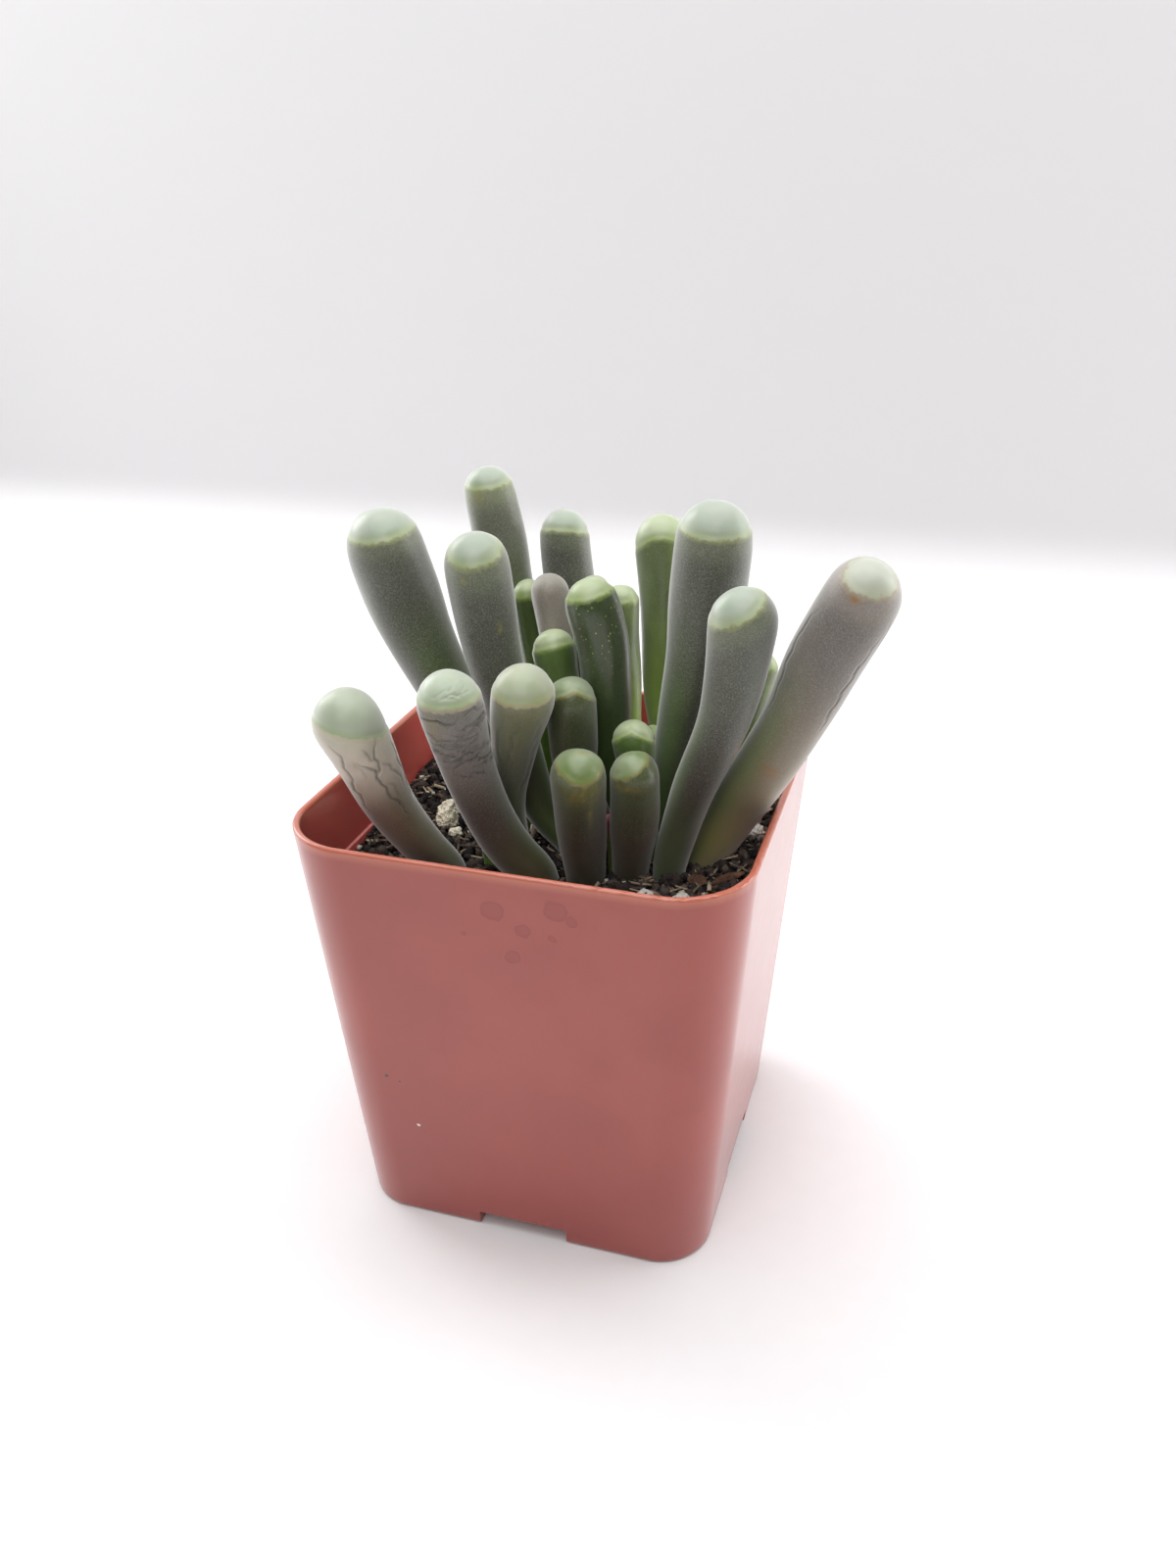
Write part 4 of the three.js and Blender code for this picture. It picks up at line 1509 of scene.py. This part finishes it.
@dataclass
class Soil:
    """The soil: a crumbly block and the grains that lie on it.

    Attributes:
        pot: The pot that it fills.
        cell: Width of a cell of the height table, in millimetres.
        bottom: Height of the block's underside.
        gap: Distance from the pot's inner wall.
        hollow: A hollow by the left wall, as its place across and along, its width and its depth.
        sky: Height from which rays look down for the soil.
        hole: Height below which a ray has gone down a leaf's hole.
        sunk: How far the block lies under the solid's top.
        crumble: How rough the block's top is.
        columns: How many cells the block's top has each way.
        heights: Table of the heights of the soil's top.
        reach: Half the width of that table.
        leaves: Every solid that grains keep clear of.
    """

    pot: Pot
    cell: float = 0.45
    bottom: float = 3.7
    gap: float = 0.08
    hollow: tuple[float, float, float, float] = (-26.0, -18.0, 8.0, 2.6)
    sky: float = 60.0
    hole: float = 45.6
    sunk: float = 0.25
    crumble: float = 0.35
    columns: int = 150
    heights: np.ndarray = field(init=False)
    reach: float = field(init=False)
    leaves: BVHTree = field(init=False)

    def __post_init__(self) -> None:
        """Read the height of the soil's top from its node, and bridge the leaves' holes."""
        self.reach = self.pot.rim_half
        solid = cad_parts["soil"].data
        tree = BVHTree.FromPolygons([v.co for v in solid.vertices], [p.vertices for p in solid.polygons])
        count = int(2 * self.reach / self.cell) + 1
        raw = np.full((count, count), np.nan)
        down = Vector((0, 0, -1))
        for i in range(count):
            for j in range(count):
                x = self.pot.centre_x - self.reach + i * self.cell
                y = -self.reach + j * self.cell
                hit = tree.ray_cast(Vector((x * MM, y * MM, self.sky * MM)), down)[0]
                if hit is not None and hit.z > self.hole * MM:
                    raw[i, j] = hit.z / MM
        self.heights = self._bridged(raw)
        corners, faces = [], []
        for mesh in (solid.data for node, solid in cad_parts.items() if node not in ("pot", "soil")):
            before = len(corners)
            corners += [v.co.copy() for v in mesh.vertices]
            faces += [[before + k for k in p.vertices] for p in mesh.polygons]
        self.leaves = BVHTree.FromPolygons(corners, faces)

    @staticmethod
    def _around(padded: np.ndarray) -> np.ndarray:
        """Stack the nine cells round each cell of a table that was padded by one."""
        rows, columns = padded.shape
        moves = [(a, b) for a in range(3) for b in range(3)]
        return np.stack([padded[a : rows - 2 + a, b : columns - 2 + b] for a, b in moves])

    @classmethod
    def _bridged(cls, raw: np.ndarray) -> np.ndarray:
        """Fill the empty cells of a table from their neighbours, then smooth it a little."""
        heights = raw.copy()
        while np.isnan(heights).any():
            stack = cls._around(np.pad(heights, 1, constant_values=np.nan))
            known = ~np.isnan(stack)
            mean = np.where(known, stack, 0).sum(axis=0) / np.maximum(known.sum(axis=0), 1)
            fillable = np.isnan(heights) & known.any(axis=0)
            heights[fillable] = mean[fillable]
        return cls._around(np.pad(heights, 1, mode="edge")).sum(axis=0) / 9

    def level(self, x: np.ndarray, y: np.ndarray) -> np.ndarray:
        """Height of the soil's top.

        Args:
            x: Places across, from the pot's middle line.
            y: Places along, from the pot's middle line.

        Returns:
            The heights in millimetres.
        """
        last = self.heights.shape[0] - 1.001
        i = np.clip((x + self.reach) / self.cell, 0, last)
        j = np.clip((y + self.reach) / self.cell, 0, last)
        a, b = i.astype(int), j.astype(int)
        u, v = i - a, j - b
        table = self.heights
        near = table[a, b] * (1 - v) + table[a, b + 1] * v
        far = table[a + 1, b] * (1 - v) + table[a + 1, b + 1] * v
        across, along, wide, deep = self.hollow
        dip = deep * np.exp(-((x - across) ** 2 + (y - along) ** 2) / wide**2)
        return near * (1 - u) + far * u - dip

    def build_block(self) -> bpy.types.Object:
        """Make the block of soil under the grains.

        Returns:
            The finished mesh.
        """
        pot = self.pot
        grid = bpy.ops.mesh.primitive_grid_add
        piece = start(grid, "soil_block", x_subdivisions=self.columns, y_subdivisions=self.columns, size=2)
        flat = points_of(piece.data) * MM
        angle = np.arctan2(flat[:, 1], flat[:, 0])
        out = np.maximum(np.abs(flat[:, 0]), np.abs(flat[:, 1]))
        wall = pot.reach(angle, 47.0, pot.wall_low + self.gap)
        x = out * wall * np.cos(angle)
        y = out * wall * np.sin(angle)
        rough = np.array([noise.fractal(Vector((a * 0.9, b * 0.9, 1.7)), 0.9, 2.1, 4) for a, b in zip(x, y)])
        z = self.level(x, y) - self.sunk + self.crumble * rough
        set_points(piece.data, np.column_stack([pot.centre_x + x, y, z]))
        with editing(piece, "DESELECT"):
            bpy.ops.mesh.select_non_manifold()
            bpy.ops.mesh.extrude_edges_move()
        pot.move_onto(piece.data, self.bottom, pot.wall_low + self.gap + 0.5)
        with editing(piece):
            bpy.ops.mesh.edge_face_add()
            bpy.ops.mesh.select_all(action="SELECT")
            bpy.ops.mesh.normals_make_consistent(inside=False)
        patches = noise_at(points_of(piece.data) * 0.5)
        store(piece.data, "tone", np.clip(0.25 + 0.3 * patches, 0, 1))
        return piece

    def build_grains(self, kind: "GrainKind") -> bpy.types.Object:
        """Scatter grains of one kind over the soil.

        Args:
            kind: What the grains are like.

        Returns:
            One mesh that holds them all.
        """
        draw = np.random.default_rng(kind.seed)
        corners, faces = kind.shape()
        places, halves, tones = self._places(kind, draw)
        count = len(places)
        turns = random_turns(draw, count, kind.lying)
        uneven = 1 + draw.uniform(-kind.uneven, kind.uneven, (count, len(corners), 1))
        local = corners[None] * uneven * halves[:, None, :]
        points = np.einsum("nij,nvj->nvi", turns, local) + places[:, None, :]
        mesh = bpy.data.meshes.new(kind.name)
        triangles = (faces[None] + (np.arange(count) * len(corners))[:, None, None]).reshape(-1, 3)
        mesh.vertices.add(count * len(corners))
        mesh.loops.add(triangles.size)
        mesh.polygons.add(len(triangles))
        mesh.vertices.foreach_set("co", (points.reshape(-1, 3) * MM).ravel())
        mesh.loops.foreach_set("vertex_index", triangles.ravel().astype(np.int32))
        mesh.polygons.foreach_set("loop_start", np.arange(0, triangles.size, 3, dtype=np.int32))
        mesh.update(calc_edges=True)
        mesh.validate()
        store(mesh, "tone", np.repeat(tones, len(corners)))
        piece = bpy.data.objects.new(kind.name, mesh)
        bpy.context.scene.collection.objects.link(piece)
        return piece

    def _places(
        self, kind: "GrainKind", draw: np.random.Generator
    ) -> tuple[np.ndarray, np.ndarray, np.ndarray]:
        """Draw places, half sizes and tones for grains, clear of the leaves and the wall."""
        places, halves, tones = [], [], []
        tries = 0
        while len(places) < kind.count and tries < 8 * kind.count:
            tries += 1
            x, y = draw.uniform(-self.reach, self.reach, 2)
            size = kind.small + (kind.large - kind.small) * draw.random() ** 2
            angle = math.atan2(y, x)
            wall = float(self.pot.reach(np.array(angle), 48.0, self.pot.wall_top + 0.15))
            z = float(self.level(np.array(x), np.array(y)))
            spread = size * max(kind.stretch[0], kind.stretch[1]) * 0.6
            clump = 0.5 + 0.5 * noise.noise(Vector((x * 0.25, y * 0.25, kind.seed)))
            if math.hypot(x, y) > wall - spread or draw.random() > clump + 0.35:
                continue
            spot = Vector(((self.pot.centre_x + x) * MM, y * MM, (z + kind.lift * size) * MM))
            _, _, _, gone = self.leaves.find_nearest(spot)
            inside = self.leaves.ray_cast(spot, Vector((0, 0, 1)), 0.05)[2]
            if gone < 0.45 * size * MM or (inside is not None and gone < 4 * MM and self._covered(spot)):
                continue
            places.append(np.array(spot) / MM)
            halves.append(np.array(kind.stretch) * size * draw.uniform(0.8, 1.2, 3))
            tones.append(draw.random())
        return np.array(places), np.array(halves), np.array(tones)

    def _covered(self, spot: Vector) -> bool:
        """Say whether a point lies inside a leaf or a stone."""
        point, normal, _, _ = self.leaves.find_nearest(spot)
        return (spot - point).dot(normal) < 0


def random_turns(draw: np.random.Generator, count: int, lying: float) -> np.ndarray:
    """Draw turns for grains.

    Args:
        draw: The random numbers.
        count: How many turns.
        lying: 0 for any turn, 1 for turns about the upright axis alone.

    Returns:
        One 3 by 3 matrix a grain.
    """
    tilt = (1 - lying) * math.pi
    made = np.zeros((count, 3, 3))
    for k in range(count):
        spin = Matrix.Rotation(draw.uniform(0, 2 * math.pi), 3, "Z")
        roll = Matrix.Rotation(draw.uniform(-tilt, tilt), 3, "X")
        pitch = Matrix.Rotation(draw.uniform(-tilt, tilt), 3, "Y")
        made[k] = np.array(spin @ roll @ pitch)
    return made


@dataclass(frozen=True)
class GrainKind:
    """Grains of one kind on the soil.

    Attributes:
        name: Name of the piece that holds them.
        finish: Their finish.
        slot: The record's material slot. It is not used.
        count: How many there are.
        small: Half size of the smallest.
        large: Half size of the largest.
        stretch: Their length, width and height, as shares of the half size.
        uneven: How far their corners are pulled in and out.
        lying: How flat they lie, from 0 to 1.
        lift: How high their middle sits over the soil, as a share of the half size.
        boxy: Whether they are chips with square ends.
        seed: Seed of the draw.
    """

    name: str
    finish: GrainFinish
    slot: str
    count: int
    small: float
    large: float
    stretch: Triple
    uneven: float
    lying: float
    lift: float
    boxy: bool
    seed: int

    def shape(self) -> tuple[np.ndarray, np.ndarray]:
        """Model one grain of half size 1.

        Returns:
            Its corners and its triangles.
        """
        if self.boxy:
            model = start(bpy.ops.mesh.primitive_cube_add, "grain", size=2)
            with editing(model):
                bpy.ops.mesh.quads_convert_to_tris()
        else:
            model = start(bpy.ops.mesh.primitive_ico_sphere_add, "grain", subdivisions=1, radius=1)
        corners = points_of(model.data) * MM
        faces = np.array([list(face.vertices) for face in model.data.polygons])
        bpy.data.objects.remove(model)
        return corners, faces


GRAINS = (
    GrainKind("soil_crumbs", PEAT, "peat", 5200, 0.22, 0.85, (1.1, 0.9, 0.8), 0.35, 0.0, 0.1, False, 11),
    GrainKind("soil_fibres", FIBRE, "peat", 1500, 0.5, 1.5, (1.0, 0.16, 0.08), 0.25, 0.82, 0.35, True, 12),
    GrainKind("soil_chips", BARK, "bark", 420, 0.35, 1.1, (1.1, 0.7, 0.4), 0.35, 0.6, 0.3, False, 13),
    GrainKind("soil_grit", GRIT, "pumice", 300, 0.16, 0.5, (1.0, 0.9, 0.8), 0.25, 0.0, 0.4, False, 14),
)


@dataclass(frozen=True)
class Lump:
    """A loose stone or bark piece on the soil.

    Attributes:
        finish: Its finish.
        slot: The record's material slot. It is not used.
        roughness: Depth of its coarse relief in millimetres.
        grain: Width of that relief in millimetres.
        pits: Depth of its pits in millimetres.
    """

    finish: GrainFinish
    slot: str
    roughness: float
    grain: float
    pits: float = 0.0

    def build(self, node: str) -> bpy.types.Object:
        """Make the piece finer from its solid.

        Args:
            node: The CAD node's name.

        Returns:
            The finished mesh.
        """
        piece = copy_of_node(node, f"{node}_rough")
        middle = points_of(piece.data).mean(axis=0)
        before = np.ptp(points_of(piece.data), axis=0)
        divide(piece, 3)
        points = points_of(piece.data)
        points = middle + (points - middle) * (before / np.ptp(points, axis=0))
        set_points(piece.data, points)
        normals = normals_of(piece.data)
        lift = []
        for point in points:
            coarse = noise.fractal(Vector(point) / self.grain, 0.8, 2.0, 4)
            pit = max(0.0, noise.noise(Vector(point) / (self.grain * 0.45)) - 0.15)
            lift.append(self.roughness * (coarse - 0.35) - self.pits * pit)
        set_points(piece.data, points + normals * np.array(lift)[:, None])
        store(piece.data, "tone", 0.55 + 0.45 * noise_at(points / 1.3))
        only(piece)
        bpy.ops.object.shade_smooth_by_angle(angle=math.radians(40))
        return piece


LUMPS = {
    "pumice_cream": Lump(PUMICE, "pumice", 0.35, 0.9, 0.9),
    "pumice_small": Lump(PUMICE, "pumice", 0.2, 0.6, 0.4),
    "pumice_white": Lump(QUARTZ, "pumice", 0.25, 0.7, 0.5),
    "pebble_grey": Lump(PEBBLE, "pebble", 0.08, 0.6),
    "pebble_tan": Lump(PUMICE, "pebble", 0.15, 0.5, 0.2),
    "pebble_white_1": Lump(QUARTZ, "pumice", 0.15, 0.5, 0.2),
    "pebble_white_2": Lump(QUARTZ, "pumice", 0.15, 0.5, 0.2),
    "bark_crumb": Lump(BARK, "bark", 0.25, 0.5, 0.3),
    "bark_ball": Lump(BARK, "bark", 0.25, 0.5, 0.3),
    "bark_strip": Lump(HUSK, "bark", 0.12, 0.5),
    "dry_scale": Lump(HUSK, "bark", 0.12, 0.5),
}


# Studio


@dataclass
class Studio:
    """A white paper sweep, soft lights and the camera where the photo was taken.

    Attributes:
        eye: The camera's place.
        yaw: Degrees that it stands to the right of the pot's front.
        pitch: Degrees that it looks down.
        roll: Degrees that it is turned about its line of sight.
        lens: Its focal length in millimetres, for a sensor whose long side is 36 mm.
        wall_at: How far behind the pot the paper turns up.
        sweep: How wide its bend is.
        aim: Height at which the lights point, in metres.
        air: Colour of the pale surround.
        air_strength: How bright it is.
    """

    eye: Triple = (42.1, -138.2, 125.9)
    yaw: float = 17.98
    pitch: float = 26.01
    roll: float = -1.04
    lens: float = 29.05
    wall_at: float = 255.0
    sweep: float = 25.0
    aim: float = 0.05
    air: Colour = (0.92, 0.95, 1.0, 1.0)
    air_strength: float = 0.02

    # Name, place in metres, width in metres and power in watts of each light
    LIGHTS = (
        ("light_top", (0.0, 0.0, 0.5), 0.5, 2.05),
        ("light_sky", (0.0, 0.0, 0.9), 1.4, 0.9),
        ("light_left", (-0.4, 0.2, 0.3), 0.3, 1.45),
        ("light_left_low", (-0.36, -0.02, 0.12), 0.22, 0.25),
        ("light_right", (0.4, 0.2, 0.3), 0.3, 0.45),
        ("light_right_low", (0.38, 0.14, 0.13), 0.24, 0.55),
        ("light_front", (0.05, -0.6, 0.6), 0.6, 2.2),
    )

    def build_camera(self) -> None:
        """Make the camera."""
        yaw, pitch, roll = (math.radians(a) for a in (self.yaw, self.pitch, self.roll))
        back = Vector((math.sin(yaw) * math.cos(pitch), -math.cos(yaw) * math.cos(pitch), math.sin(pitch)))
        level = Vector((math.cos(yaw), math.sin(yaw), 0))
        up = back.cross(level)
        right = level * math.cos(roll) + up * math.sin(roll)
        turned = up * math.cos(roll) - level * math.sin(roll)
        data = bpy.data.cameras.new("camera")
        data.lens = self.lens
        data.sensor_width = 36
        data.clip_start = 0.01
        data.clip_end = 20
        camera = bpy.data.objects.new("camera", data)
        bpy.context.scene.collection.objects.link(camera)
        rows = [(right[k], turned[k], back[k], self.eye[k] * MM) for k in range(3)]
        camera.matrix_world = Matrix([*rows, (0, 0, 0, 1)])
        bpy.context.scene.camera = camera

    def build_floor(self) -> bpy.types.Object:
        """Make the paper floor that sweeps up behind the pot.

        Returns:
            The floor.
        """
        floor = start(bpy.ops.mesh.primitive_plane_add, "paper_sweep", size=4)
        points = points_of(floor.data)
        points[points[:, 1] > 0, 1] = self.wall_at
        set_points(floor.data, points)
        select_edges(floor, lambda end: end.y > 0)
        with editing(floor):
            bpy.ops.mesh.extrude_edges_move(TRANSFORM_OT_translate={"value": (0, 0, 2)})
        select_edges(floor, lambda end: end.y > 0 and end.z < 1)
        with editing(floor):
            bpy.ops.mesh.bevel(offset=self.sweep * MM, segments=24)
        bpy.ops.object.shade_smooth()
        floor.data.materials.append(FloorFinish().material())
        return floor

    def build_lights(self) -> None:
        """Make the soft lights and the pale surround."""
        for light in self.LIGHTS:
            self._panel(*light)
        world = bpy.data.worlds.new("surround")
        bpy.context.scene.world = world
        world.use_nodes = True
        background = world.node_tree.nodes["Background"]
        background.inputs["Color"].default_value = self.air
        background.inputs["Strength"].default_value = self.air_strength

    def _panel(self, name: str, at: Triple, size: float, watts: float) -> None:
        """Hang one square light panel that faces the plant.

        Args:
            name: Its name.
            at: Its place in metres.
            size: Its width in metres.
            watts: Its power.
        """
        data = bpy.data.lights.new(name, "AREA")
        data.shape = "SQUARE"
        data.size = size
        data.energy = watts
        panel = bpy.data.objects.new(name, data)
        bpy.context.scene.collection.objects.link(panel)
        panel.location = at
        panel.rotation_mode = "QUATERNION"
        panel.rotation_quaternion = (Vector((0, 0, self.aim)) - Vector(at)).to_track_quat("-Z", "Y")

    @staticmethod
    def set_look() -> None:
        """Use plain tones, so that colours come out as painted."""
        settings = bpy.context.scene.view_settings
        settings.view_transform = "Standard"
        settings.look = "None"
        settings.exposure = 0.0


def main() -> None:
    """Build the studio and every piece."""
    logging.basicConfig(level=logging.INFO, format="%(name)s %(message)s")
    studio = Studio()
    studio.build_camera()
    studio.build_floor()
    studio.build_lights()
    studio.set_look()

    skins = {hue: hue.value.material() for hue in Hue}
    for number, (node, plan) in enumerate(LEAVES.items()):
        leaf = Leaf(node, plan, seed=LEAF_SEED + number)
        settle(leaf.build(), skins[plan.hue], (node,))
    bud = Leaf("flower_bud", LeafPlan(Hue.FRESH, Window(2.0), levels=2), seed=BUD_SEED)
    settle(bud.build(), BudFinish().material(), ("flower_bud",))

    pot = Pot()
    settle(pot.build(), pot.finish().material(), ("pot",))

    soil = Soil(pot)
    settle(soil.build_block(), PEAT.material(), ("soil",))
    for kind in GRAINS:
        settle(soil.build_grains(kind), kind.finish.material())
    for node, lump in LUMPS.items():
        settle(lump.build(node), lump.finish.material(), (node,))


if __name__ == "__main__":
    main()
